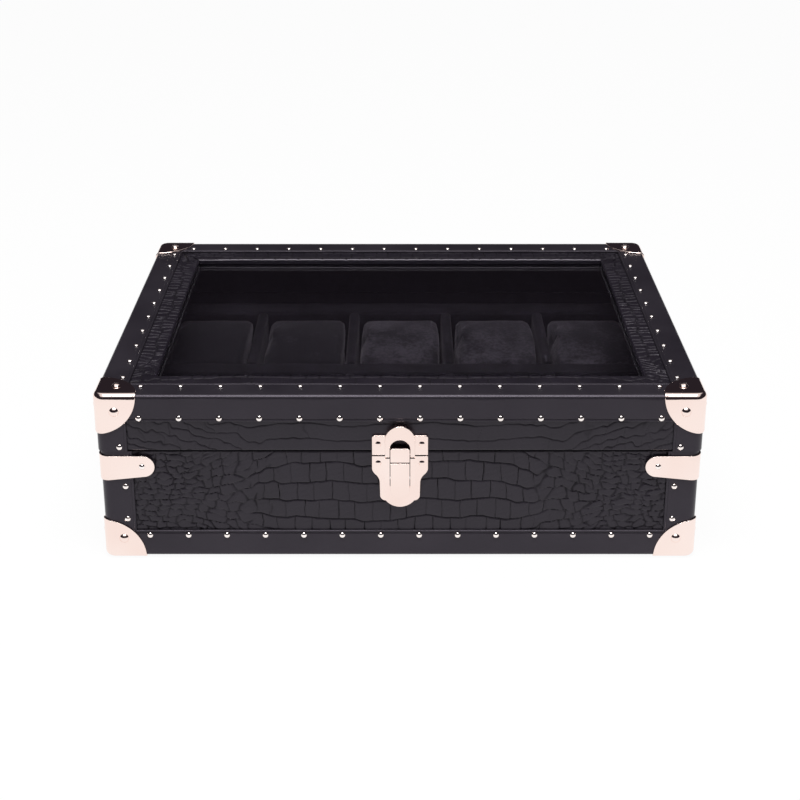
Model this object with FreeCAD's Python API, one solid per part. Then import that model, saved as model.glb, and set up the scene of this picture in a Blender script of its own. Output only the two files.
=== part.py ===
import FreeCAD, Part
import math
import os

os.makedirs("parts", exist_ok=True)

# Overall size over the smooth leather bindings: +X right, front at -Y, +Z up, floor at Z 0
BOX_WIDTH = 340.0
BOX_DEPTH = 256.0
BOX_HEIGHT = 103.0
LID_HEIGHT = 34.6
SEAM_GAP = 0.4
LID_OVERHANG = 0.9

# Layers, from the wood outwards
WALL = 9.0
FLOOR = 6.0
HIDE = 1.0
BINDING = 1.2
SHEET = 0.9
LINING = 1.5
CORNER_ROUND = 5.5
FOLD_ROUND = 2.3
RABBET_LIP = 4.5
CAP_LIFT = 0.4

# Leather bindings
TOP_STRIP = 17.0
LID_STRIP_HEIGHT = 16.0
LID_CORNER_STRIP = 17.2
BASE_STRIP_TOP = 17.8
BASE_CORNER_STRIP = 18.5
UNDER_STRIP = 17.5
FELT_GAP = 1.0

# Glass window
WINDOW_INSET = 30.5
WINDOW_ROUND = 1.6
RAIL_THICK = 9.0
GLASS = 3.0
BEAD = 3.4
REBATE = 4.0
GLASS_FIT = 0.3

# Corner caps, straps and nails
CAP_REACH = 23.5
STRAP_TOP = 65.6
STRAP_TIP_TOP = 65.4
STRAP_TIP_LOW = 52.6
STRAP_LOW = 50.0
STRAP_REACH = 30.9
STRAP_NAIL = 23.8
NAIL_R = 1.75
NAIL_HIGH = 1.3
CAP_NAIL_R = 2.7
CAP_NAIL_HIGH = 1.7
CAP_NAIL_INSET = 11.2
LID_CAP_NAIL_DROP = 9.7
BASE_CAP_NAIL_RISE = 12.0
FRONT_NAIL_COUNT = 14
SIDE_NAIL_COUNT = 10
LID_ROW_END = 24.5
BASE_ROW_END = 26.0
TOP_ROW_INSET = 12.5
LID_ROW_DROP = 14.0
BASE_ROW_Z = 14.8
LID_CORNER_NAIL = 12.8
LID_CORNER_NAIL_RISE = 2.8
BASE_CORNER_NAIL = 13.8
BASE_CORNER_NAIL_Z = (25.4, 46.1)

# Compartments and cushions
COLUMNS = 5
TRAY_BOARD = 2.0
TRAY_TOP = 61.0
TRAY_RAIL = 20.0
ROW_DIVIDER = 17.5
COLUMN_DIVIDER = 7.0
TRAY_ROUND = 2.5
LAP_FIT = 0.1
CUSHION_GAP = 1.4
CUSHION_CROWN = 3.0
CUSHION_DRAWN = 3.0
CUSHION_SHOULDER = 4.0
CUSHION_NECK = 6.0
CROWN_CHORDS = 4

# Latch, measured from the seam (RISE up, DROP down) and out from the plate's front face
LATCH_HALF = 15.7
LATCH_PLATE = 1.5
WING_RISE = 10.2
WING_ROUND = 1.5
DOME_R = 8.4
DOME_RISE = 17.1
RING_HIGH = 3.0
RING_INNER = 5.75
ARCH_RISE = 8.8
KEEPER_RISE = 1.6
PLATE_LAP = 1.9
PLATE_GAP = 0.7
SHIELD_DROP = 34.2
EAR_DROP = 19.0
CHANNEL_DROP = 21.0
LEVER_HALF = 5.4
LEVER_RISE = 3.5
LEVER_DROP = 27.5
LEVER_FACE = 3.2
GROOVE_DROP = 4.6
GROOVE = 0.7
NOSE_THICK = 1.5
NOSE_CLEAR = 0.3
PIVOT_DROP = 15.0
PIVOT_OUT = 1.5
PIN_R = 0.9
PIN_FIT = 0.05
BOSS_R = 1.7
THUMB_GAP = 2.0
LATCH_NAIL_X = 12.3
LATCH_NAIL_RISE = 4.8
LATCH_NAIL_DROP = 6.6
SPRING_HALF = 2.0
SPRING = 0.3

# Hinges
HINGE_INSET = 75.0
LEAF_LENGTH = 40.0
LEAF = 1.2
LEAF_INSET = 1.5
KNUCKLE_R = 2.5
HINGE_PIN_R = 1.2
HINGE_FIT = 0.05
KNUCKLE_CLEAR = 0.3
LEAF_FIT = 0.1
LID_SWING = 95.0
STOP_REACH = 4.6
STOP_WIDE = 30.0
STOP_SLACK = 0.2

HALF_W = BOX_WIDTH / 2
HALF_D = BOX_DEPTH / 2
LID_BOTTOM = BOX_HEIGHT - LID_HEIGHT
BASE_TOP = LID_BOTTOM - SEAM_GAP
SKIN = HIDE + BINDING
LAYER_FACES = {"wood": -SKIN, "hide": -BINDING, "binding": 0.0, "sheet": SHEET}
BASE_W = HALF_W - LID_OVERHANG
BASE_D = HALF_D - LID_OVERHANG
BASE_SKIN = CAP_LIFT + SHEET
FELT = BASE_SKIN + SKIN
LID_WOOD_TOP = BOX_HEIGHT - SKIN
RAIL_BOTTOM = LID_WOOD_TOP - RAIL_THICK
GLASS_TOP = RAIL_BOTTOM + BEAD + GLASS
LID_INNER_W = HALF_W - SKIN - WALL
LID_INNER_D = HALF_D - SKIN - WALL
BASE_INNER_W = BASE_W - SKIN - WALL
BASE_INNER_D = BASE_D - SKIN - WALL
WINDOW_W = HALF_W - WINDOW_INSET
WINDOW_D = HALF_D - WINDOW_INSET
FLOOR_TOP = FELT + FLOOR
TRAY_FLOOR = FLOOR_TOP + TRAY_BOARD
TRAY_W = BASE_INNER_W - LINING
TRAY_D = BASE_INNER_D - LINING
CELL_WIDE = (2 * TRAY_W - (COLUMNS - 1) * COLUMN_DIVIDER) / COLUMNS
CELL_LONG = TRAY_D - TRAY_RAIL - ROW_DIVIDER / 2
PLATE_Y = -(HALF_D - BINDING) - LATCH_PLATE
PIVOT_Z = BASE_TOP - PIVOT_DROP
HINGE_X = HALF_W - HINGE_INSET
HINGE_Y = HALF_D - BINDING + KNUCKLE_R + KNUCKLE_CLEAR
HINGE_Z = (BASE_TOP + LID_BOTTOM) / 2
CORNERS = ((-1, -1), (1, -1), (-1, 1), (1, 1))
SIDES = ("front", "back", "left", "right")
FAR = 500.0

FRONT = FreeCAD.Vector(0, -1, 0)
BACK = FreeCAD.Vector(0, 1, 0)
LEFT = FreeCAD.Vector(-1, 0, 0)
RIGHT = FreeCAD.Vector(1, 0, 0)
UP = FreeCAD.Vector(0, 0, 1)


def vec(x, y, z):
    return FreeCAD.Vector(x, y, z)


def save(name, shape):
    """Write one node; a list becomes a group of separate solids."""
    if isinstance(shape, list):
        shape = Part.makeCompound(shape)
    shape.exportStep("parts/" + name + ".step")


def slab(x0, x1, y0, y1, z0, z1):
    return Part.makeBox(x1 - x0, y1 - y0, z1 - z0, vec(x0, y0, z0))


def middle(half_x, half_y, z0, z1):
    return slab(-half_x, half_x, -half_y, half_y, z0, z1)


def prism(points, z0, z1):
    """Upright prism over a plan polygon."""
    wire = Part.makePolygon([vec(x, y, z0) for x, y in points + points[:1]])
    return Part.Face(wire).extrude(vec(0, 0, z1 - z0))


def path(start, steps, place):
    """Closed face through lines (end) and arcs (through, end), put in space by place(a, b)."""
    edges = []
    here = start
    for step in steps:
        if isinstance(step[0], tuple):
            edges.append(Part.Arc(place(*here), place(*step[0]), place(*step[1])).toShape())
            here = step[1]
        else:
            edges.append(Part.makeLine(place(*here), place(*step)))
            here = step
    return Part.Face(Part.Wire(edges))


def mirrored(start, steps):
    """Complete a half outline from top centre to bottom centre with its mirror image in a."""
    nodes = [start]
    throughs = []
    for step in steps:
        arc = isinstance(step[0], tuple)
        throughs.append(step[0] if arc else None)
        nodes.append(step[1] if arc else step)
    whole = list(steps)
    for i in range(len(steps) - 1, -1, -1):
        end = (-nodes[i][0], nodes[i][1])
        whole.append(end if throughs[i] is None else ((-throughs[i][0], throughs[i][1]), end))
    return whole


def block(half_x, half_y, z_open, z_closed, grow):
    """Box grown out to a layer: rounded upright edges, and on the outer layers a fold round the closed end."""
    z_closed += grow if z_closed > z_open else -grow
    solid = middle(half_x + grow, half_y + grow, min(z_open, z_closed), max(z_open, z_closed))
    upright = [e for e in solid.Edges if abs(e.Vertexes[0].Point.z - e.Vertexes[1].Point.z) > 1e-6]
    solid = solid.makeFillet(CORNER_ROUND + grow, upright)
    if grow < 0:
        return solid
    rim = [e for e in solid.Edges if max(abs(v.Point.z - z_closed) for v in e.Vertexes) < 1e-6]
    return solid.makeFillet(FOLD_ROUND + grow, rim)


def lid_block(layer, below=0.0):
    """Lid envelope out to the face of one layer."""
    return block(HALF_W, HALF_D, LID_BOTTOM - below, BOX_HEIGHT, LAYER_FACES[layer])


def base_block(layer, above=0.0):
    """Base envelope out to the face of one layer."""
    return block(BASE_W, BASE_D, BASE_TOP + above, BASE_SKIN, LAYER_FACES[layer])


def lid_shell(outer, inner):
    return lid_block(outer).cut(lid_block(inner, 1.0))


def base_shell(outer, inner):
    return base_block(outer).cut(base_block(inner, 1.0))


def mitred(half_x, half_y, width, side, z0, z1):
    """Plan trapezoid along one side, cut at 45 degrees through the corners."""
    out = 3.0
    low = [(-half_x - out, -half_y - out), (half_x + out, -half_y - out)]
    near = [(half_x - width, -half_y + width), (-half_x + width, -half_y + width)]
    if side in ("front", "back"):
        turn = -1 if side == "back" else 1
        return prism([(x, turn * y) for x, y in low + near], z0, z1)
    turn = -1 if side == "right" else 1
    ring = [low[0], near[1], (near[1][0], -near[1][1]), (low[0][0], -low[0][1])]
    return prism([(turn * x, y) for x, y in ring], z0, z1)


def straight_run(half_x, half_y, side):
    """Space along one side between the corner roundings, where an edge binding stops under the caps."""
    if side in ("front", "back"):
        return middle(half_x - CORNER_ROUND, FAR, 0, FAR)
    return middle(FAR, half_y - CORNER_ROUND, 0, FAR)


def rounded_top(solid, z_top, radius, keep):
    """Round the top edges whose two ends both pass keep(point)."""
    soft = []
    for edge in solid.Edges:
        ends = [v.Point for v in edge.Vertexes]
        if len(ends) == 2 and all(abs(p.z - z_top) < 1e-6 and keep(p) for p in ends):
            soft.append(edge)
    return solid.makeFillet(radius, soft)


def windowed(solid, half_x, half_y, z_top, radius):
    """Cut the window through a lid top and roll over its upper rim."""
    cut = solid.cut(middle(half_x, half_y, 0, FAR))
    return rounded_top(cut, z_top, radius, lambda p: abs(p.x) < half_x + 1e-3 and abs(p.y) < half_y + 1e-3)


def walls(ring, inner_x, inner_y):
    """Split a wooden ring into boards: the sides sit in rabbets at the ends of the front and back."""
    lap = inner_y + WALL - RABBET_LIP
    left = slab(-FAR, -inner_x, -lap, lap, 0, FAR)
    right = slab(inner_x, FAR, -lap, lap, 0, FAR)
    front = slab(-FAR, FAR, -FAR, -inner_y, 0, FAR).cut(left).cut(right)
    back = slab(-FAR, FAR, inner_y, FAR, 0, FAR).cut(left).cut(right)
    zones = (("front", front), ("back", back), ("left", left), ("right", right))
    return {side: ring.common(zone) for side, zone in zones}


def liners(inner_x, inner_y, z0, z1):
    """Four lining boards round the inside of the walls."""
    thin_y = inner_y - LINING
    thin_x = inner_x - LINING
    return [
        slab(-inner_x, inner_x, -inner_y, -thin_y, z0, z1),
        slab(-inner_x, inner_x, thin_y, inner_y, z0, z1),
        slab(-inner_x, -thin_x, -thin_y, thin_y, z0, z1),
        slab(thin_x, inner_x, -thin_y, thin_y, z0, z1),
    ]


def spaced(count, half):
    return [-half + 2 * half * i / (count - 1) for i in range(count)]


def stud(radius, height, point, normal):
    """Six-sided domed nail head, seated on a face with the given normal."""
    rings = []
    for r, z in ((radius, 0.0), (0.55 * radius, height)):
        rings.append([vec(r * math.cos(math.pi * k / 3), r * math.sin(math.pi * k / 3), z) for k in range(7)])
    low, high = rings
    loops = [low, high]
    loops += [[low[k], low[k + 1], high[k + 1], high[k], low[k]] for k in range(6)]
    head = Part.Solid(Part.Shell([Part.Face(Part.makePolygon(loop)) for loop in loops]))
    head.Placement = FreeCAD.Placement(point, FreeCAD.Rotation(UP, normal))
    return head


def nail_rows(half_x, half_y, z, end):
    """Nails along the four upright faces at one height."""
    heads = []
    for x in spaced(FRONT_NAIL_COUNT, half_x - end):
        heads.append(stud(NAIL_R, NAIL_HIGH, vec(x, -half_y, z), FRONT))
        heads.append(stud(NAIL_R, NAIL_HIGH, vec(x, half_y, z), BACK))
    for y in spaced(SIDE_NAIL_COUNT, half_y - end):
        heads.append(stud(NAIL_R, NAIL_HIGH, vec(-half_x, y, z), LEFT))
        heads.append(stud(NAIL_R, NAIL_HIGH, vec(half_x, y, z), RIGHT))
    return heads


def corner_studs(radius, height, half_x, half_y, inset, z):
    """One nail on each of the two upright faces at every corner."""
    heads = []
    for sx, sy in CORNERS:
        heads.append(stud(radius, height, vec(sx * (half_x - inset), sy * half_y, z), vec(0, sy, 0)))
        heads.append(stud(radius, height, vec(sx * half_x, sy * (half_y - inset), z), vec(sx, 0, 0)))
    return heads


def base_carcass():
    ring = base_block("wood").cut(middle(BASE_INNER_W, BASE_INNER_D, 0, FAR))
    boards = walls(ring, BASE_INNER_W, BASE_INNER_D)
    boards["back"] = boards["back"].cut(base_leaf_beds())
    for side in SIDES:
        save("base_" + side + "_wall", boards[side])
    save("base_floor", middle(BASE_INNER_W, BASE_INNER_D, FELT, FLOOR_TOP))
    save("base_felt", middle(BASE_W - UNDER_STRIP - FELT_GAP, BASE_D - UNDER_STRIP - FELT_GAP, 0, FELT))
    save("base_lining", liners(BASE_INNER_W, BASE_INNER_D, FLOOR_TOP, BASE_TOP))


def base_leather():
    hide = base_shell("hide", "wood")
    hide = hide.cut(middle(BASE_W - UNDER_STRIP, BASE_D - UNDER_STRIP, 0, FLOOR_TOP))
    save("base_hide", hide.cut(base_leaf_beds()))
    shell = base_shell("binding", "hide")
    strips = []
    for side in SIDES:
        strip = shell.common(mitred(BASE_W, BASE_D, UNDER_STRIP, side, 0, BASE_STRIP_TOP))
        strips.append(strip.common(straight_run(BASE_W, BASE_D, side)))
    save("base_edge_bindings", strips)
    posts = []
    for sx, sy in CORNERS:
        zone = slab(BASE_W - BASE_CORNER_STRIP, FAR, BASE_D - BASE_CORNER_STRIP, FAR, BASE_STRIP_TOP, FAR)
        posts.append(shell.common(turned(zone, sx, sy)))
    save("base_corner_bindings", posts)


def turned(solid, sx, sy):
    """Mirror a solid made in the +X +Y corner into another corner."""
    if sx < 0:
        solid = solid.mirror(vec(0, 0, 0), RIGHT)
    if sy < 0:
        solid = solid.mirror(vec(0, 0, 0), BACK)
    return solid


def strap_tongue():
    """Tapered tongue with a round tip, as (distance from the corner, height)."""
    tip = (STRAP_TIP_TOP - STRAP_TIP_LOW) / 2
    mid = (STRAP_TIP_TOP + STRAP_TIP_LOW) / 2
    neck = STRAP_REACH - tip
    start = (-5.0, STRAP_TOP)
    steps = [
        (neck, STRAP_TIP_TOP),
        ((STRAP_REACH, mid), (neck, STRAP_TIP_LOW)),
        (0.0, STRAP_LOW),
        (-5.0, STRAP_LOW),
        start,
    ]
    return start, steps


def cap_reach(x, y, z):
    """Space shared by three drums about a corner, so that each face of a cap ends in a quarter circle."""
    long = 2 * CAP_REACH
    drums = []
    for axis in (RIGHT, BACK, UP):
        drums.append(Part.makeCylinder(CAP_REACH, 2 * long, vec(x, y, z) - axis * long, axis))
    return drums[0].common(drums[1]).common(drums[2])


def base_metal():
    shell = base_shell("sheet", "binding")
    caps = [shell.common(cap_reach(sx * BASE_W, sy * BASE_D, BASE_SKIN)) for sx, sy in CORNERS]
    save("base_corner_caps", caps)
    start, steps = strap_tongue()
    across = path(start, steps, lambda a, z: vec(BASE_W - a, BASE_D - 5.0, z)).extrude(vec(0, 10.0, 0))
    along = path(start, steps, lambda a, z: vec(BASE_W - 5.0, BASE_D - a, z)).extrude(vec(10.0, 0, 0))
    strap = shell.common(across.fuse(along))
    save("corner_straps", [turned(strap, sx, sy) for sx, sy in CORNERS])


def base_nails():
    heads = nail_rows(BASE_W, BASE_D, BASE_ROW_Z, BASE_ROW_END)
    for z in BASE_CORNER_NAIL_Z:
        heads += corner_studs(NAIL_R, NAIL_HIGH, BASE_W, BASE_D, BASE_CORNER_NAIL, z)
    tip_z = (STRAP_TIP_TOP + STRAP_TIP_LOW) / 2
    face_w = BASE_W + SHEET
    face_d = BASE_D + SHEET
    heads += corner_studs(NAIL_R, NAIL_HIGH, face_w, face_d, STRAP_NAIL + SHEET, tip_z)
    for x in (-LATCH_NAIL_X, LATCH_NAIL_X):
        heads.append(stud(NAIL_R, NAIL_HIGH, vec(x, PLATE_Y, BASE_TOP - LATCH_NAIL_DROP), FRONT))
    save("base_nails", heads)
    high = BASE_SKIN + BASE_CAP_NAIL_RISE
    caps = corner_studs(CAP_NAIL_R, CAP_NAIL_HIGH, face_w, face_d, CAP_NAIL_INSET + SHEET, high)
    save("base_cap_nails", caps)


def soft_bar(x0, x1, y0, y1, along):
    """Suede-covered bar standing on the tray board, its two long top edges rolled over."""
    bar = slab(x0, x1, y0, y1, TRAY_FLOOR, TRAY_TOP)
    soft = []
    for edge in bar.Edges:
        ends = [v.Point for v in edge.Vertexes]
        top = min(p.z for p in ends) > TRAY_TOP - 1e-6
        run = abs(ends[0].x - ends[1].x) if along == "x" else abs(ends[0].y - ends[1].y)
        if top and run > 1e-6:
            soft.append(edge)
    return bar.makeFillet(TRAY_ROUND, soft)


def cell_centre(column):
    return -TRAY_W + CELL_WIDE / 2 + column * (CELL_WIDE + COLUMN_DIVIDER)


def tray():
    save("tray_board", middle(TRAY_W, TRAY_D, FLOOR_TOP, TRAY_FLOOR))
    inner = TRAY_D - TRAY_RAIL
    rails = [soft_bar(-TRAY_W, TRAY_W, -TRAY_D, -inner, "x"), soft_bar(-TRAY_W, TRAY_W, inner, TRAY_D, "x")]
    save("tray_rails", rails)
    lap = (TRAY_FLOOR + TRAY_TOP) / 2
    row = soft_bar(-TRAY_W, TRAY_W, -ROW_DIVIDER / 2, ROW_DIVIDER / 2, "x")
    bars = []
    for i in range(COLUMNS - 1):
        x = cell_centre(i) + (CELL_WIDE + COLUMN_DIVIDER) / 2
        wide = COLUMN_DIVIDER / 2
        bar = soft_bar(x - wide, x + wide, -inner, inner, "y")
        deep = ROW_DIVIDER / 2 + LAP_FIT
        bars.append(bar.cut(slab(x - FAR, x + FAR, -deep, deep, 0, lap)))
        row = row.cut(slab(x - wide - LAP_FIT, x + wide + LAP_FIT, -FAR, FAR, lap, FAR))
    save("row_divider", row)
    save("column_dividers", bars)


def cushion_section(x, y):
    """Side outline of a cushion roll: flat seat, full front and back, and a crown of short chords."""
    half = CELL_LONG / 2 - CUSHION_GAP
    low = TRAY_FLOOR
    high = TRAY_TOP + CUSHION_CROWN
    neck = half - CUSHION_NECK
    shoulder = high - CUSHION_SHOULDER
    full = low + 0.3 * (high - low)
    waist = low + 0.6 * (high - low)
    bend = (half - 0.3 * CUSHION_NECK, shoulder - 0.6 * CUSHION_SHOULDER)
    flank = [(half - CUSHION_NECK, low), (half, full), (half, waist), bend, (neck, shoulder)]
    shares = [k / CROWN_CHORDS for k in range(CROWN_CHORDS - 1, -CROWN_CHORDS, -1)]
    crown = [(neck * t, high - CUSHION_SHOULDER * t ** 2) for t in shares]
    ring = flank + crown + [(-a, z) for a, z in reversed(flank)]
    return Part.makePolygon([vec(x, y + a, z) for a, z in ring + ring[:1]])


def cushions():
    half = CELL_WIDE / 2 - CUSHION_GAP
    for row, sign in (("front", -1), ("back", 1)):
        y = sign * (ROW_DIVIDER + CELL_LONG) / 2
        for i in range(COLUMNS):
            x = cell_centre(i)
            roll = Part.Face(cushion_section(x - half, y)).extrude(vec(2 * half, 0, 0))
            rims = [e for e in roll.Edges if abs(e.Vertexes[0].Point.x - e.Vertexes[1].Point.x) < 1e-6]
            save("cushion_" + row + "_" + str(i + 1), roll.makeChamfer(CUSHION_DRAWN, rims))


def lid_carcass():
    wood = lid_block("wood")
    ring = wood.cut(middle(LID_INNER_W, LID_INNER_D, 0, FAR)).cut(middle(FAR, FAR, RAIL_BOTTOM, FAR))
    boards = walls(ring, LID_INNER_W, LID_INNER_D)
    boards["back"] = boards["back"].cut(lid_leaf_beds())
    for side in SIDES:
        save("lid_" + side + "_wall", boards[side])
    frame = lid_frame().cut(middle(WINDOW_W + HIDE + REBATE, WINDOW_D + HIDE + REBATE, 0, GLASS_TOP))
    rails = []
    wide = WINDOW_INSET - SKIN - HIDE
    for side in SIDES:
        rails.append(frame.common(mitred(HALF_W - SKIN, HALF_D - SKIN, wide, side, RAIL_BOTTOM, FAR)))
    save("lid_top_rails", rails)
    edge_w = WINDOW_W + HIDE + REBATE
    edge_d = WINDOW_D + HIDE + REBATE
    glass_z = RAIL_BOTTOM + BEAD
    save("glass_pane", middle(edge_w - GLASS_FIT, edge_d - GLASS_FIT, glass_z, GLASS_TOP))
    ring = middle(edge_w, edge_d, RAIL_BOTTOM, glass_z).cut(middle(WINDOW_W, WINDOW_D, 0, FAR))
    beads = [ring.common(mitred(edge_w, edge_d, HIDE + REBATE, side, 0, FAR)) for side in SIDES]
    save("glazing_bead", beads)
    save("lid_lining", liners(LID_INNER_W, LID_INNER_D, LID_BOTTOM, RAIL_BOTTOM))


def lid_frame():
    """Wooden top frame with its rolled window rim, before the glass rebate is cut."""
    top = lid_block("wood").common(middle(FAR, FAR, RAIL_BOTTOM, FAR))
    return windowed(top, WINDOW_W + HIDE, WINDOW_D + HIDE, LID_WOOD_TOP, WINDOW_ROUND - HIDE)


def lid_leather():
    split = LID_WOOD_TOP - HIDE
    side = lid_shell("hide", "wood").cut(middle(FAR, FAR, split, FAR))
    save("lid_hide", side.cut(lid_leaf_beds()))
    crown = lid_block("hide").common(middle(FAR, FAR, GLASS_TOP, FAR))
    crown = windowed(crown, WINDOW_W, WINDOW_D, BOX_HEIGHT - BINDING, WINDOW_ROUND)
    skirt = middle(FAR, FAR, 0, split).cut(lid_block("wood", LID_BOTTOM))
    save("lid_top_hide", crown.cut(lid_frame()).cut(skirt))
    shell = lid_shell("binding", "hide")
    low = BOX_HEIGHT - LID_STRIP_HEIGHT
    strips = []
    for side_name in SIDES:
        strip = shell.common(mitred(HALF_W, HALF_D, TOP_STRIP, side_name, low, FAR))
        strips.append(strip.common(straight_run(HALF_W, HALF_D, side_name)))
    save("lid_edge_bindings", strips)
    zone = slab(HALF_W - LID_CORNER_STRIP, FAR, HALF_D - LID_CORNER_STRIP, FAR, 0, low)
    posts = [shell.common(turned(zone, sx, sy)) for sx, sy in CORNERS]
    save("lid_corner_bindings", posts)


def lid_metal():
    shell = lid_shell("sheet", "binding")
    caps = [shell.common(cap_reach(sx * HALF_W, sy * HALF_D, BOX_HEIGHT)) for sx, sy in CORNERS]
    save("lid_corner_caps", caps)


def lid_nails():
    heads = nail_rows(HALF_W, HALF_D, BOX_HEIGHT - LID_ROW_DROP, LID_ROW_END)
    for x in spaced(FRONT_NAIL_COUNT, HALF_W - LID_ROW_END):
        for sy in (-1, 1):
            heads.append(stud(NAIL_R, NAIL_HIGH, vec(x, sy * (HALF_D - TOP_ROW_INSET), BOX_HEIGHT), UP))
    for y in spaced(SIDE_NAIL_COUNT, HALF_D - LID_ROW_END):
        for sx in (-1, 1):
            heads.append(stud(NAIL_R, NAIL_HIGH, vec(sx * (HALF_W - TOP_ROW_INSET), y, BOX_HEIGHT), UP))
    low = LID_BOTTOM + LID_CORNER_NAIL_RISE
    heads += corner_studs(NAIL_R, NAIL_HIGH, HALF_W, HALF_D, LID_CORNER_NAIL, low)
    for x in (-LATCH_NAIL_X, LATCH_NAIL_X):
        heads.append(stud(NAIL_R, NAIL_HIGH, vec(x, PLATE_Y, LID_BOTTOM + LATCH_NAIL_RISE), FRONT))
    save("lid_nails", heads)
    face_w = HALF_W + SHEET
    face_d = HALF_D + SHEET
    high = BOX_HEIGHT - LID_CAP_NAIL_DROP
    caps = corner_studs(CAP_NAIL_R, CAP_NAIL_HIGH, face_w, face_d, CAP_NAIL_INSET + SHEET, high)
    for sx, sy in CORNERS:
        at = vec(sx * (HALF_W - CAP_NAIL_INSET), sy * (HALF_D - CAP_NAIL_INSET), BOX_HEIGHT + SHEET)
        caps.append(stud(CAP_NAIL_R, CAP_NAIL_HIGH, at, UP))
    save("lid_cap_nails", caps)


def plate(start, steps, out0, out1):
    """Extrude a front-view outline between two distances out from the plate's front face."""
    face = path(start, steps, lambda x, z: vec(x, PLATE_Y - out0, z))
    return face.extrude(vec(0, out0 - out1, 0))


def lid_latch_outlines():
    dome_z = LID_BOTTOM + DOME_RISE - DOME_R
    wing_z = LID_BOTTOM + WING_RISE
    meet = math.sqrt(DOME_R ** 2 - (wing_z - dome_z) ** 2)
    turn = math.atan2(wing_z - dome_z, meet)
    lean = (turn + math.pi / 2) / 2
    through = (DOME_R * math.cos(lean), dome_z + DOME_R * math.sin(lean))
    soft = WING_ROUND * (1 - math.sqrt(0.5))
    top = (0.0, LID_BOTTOM + DOME_RISE)
    body = [
        (through, (meet, wing_z)),
        (LATCH_HALF - WING_ROUND, wing_z),
        ((LATCH_HALF - soft, wing_z - soft), (LATCH_HALF, wing_z - WING_ROUND)),
        (LATCH_HALF, LID_BOTTOM - PLATE_LAP),
        (0.0, LID_BOTTOM - PLATE_LAP),
    ]
    side = math.sqrt(0.5) * DOME_R
    ring = [
        ((side, dome_z + side), (DOME_R, dome_z)),
        (DOME_R, LID_BOTTOM - PLATE_LAP),
        (0.0, LID_BOTTOM - PLATE_LAP),
    ]
    return top, body, ring


def arch(low):
    """Outline of the arched opening, from its crown down to a level edge."""
    spring = LID_BOTTOM + ARCH_RISE - RING_INNER
    side = math.sqrt(0.5) * RING_INNER
    half = [
        ((side, spring + side), (RING_INNER, spring)),
        (RING_INNER, low),
        (0.0, low),
    ]
    crown = (0.0, LID_BOTTOM + ARCH_RISE)
    return crown, mirrored(crown, half)


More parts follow.
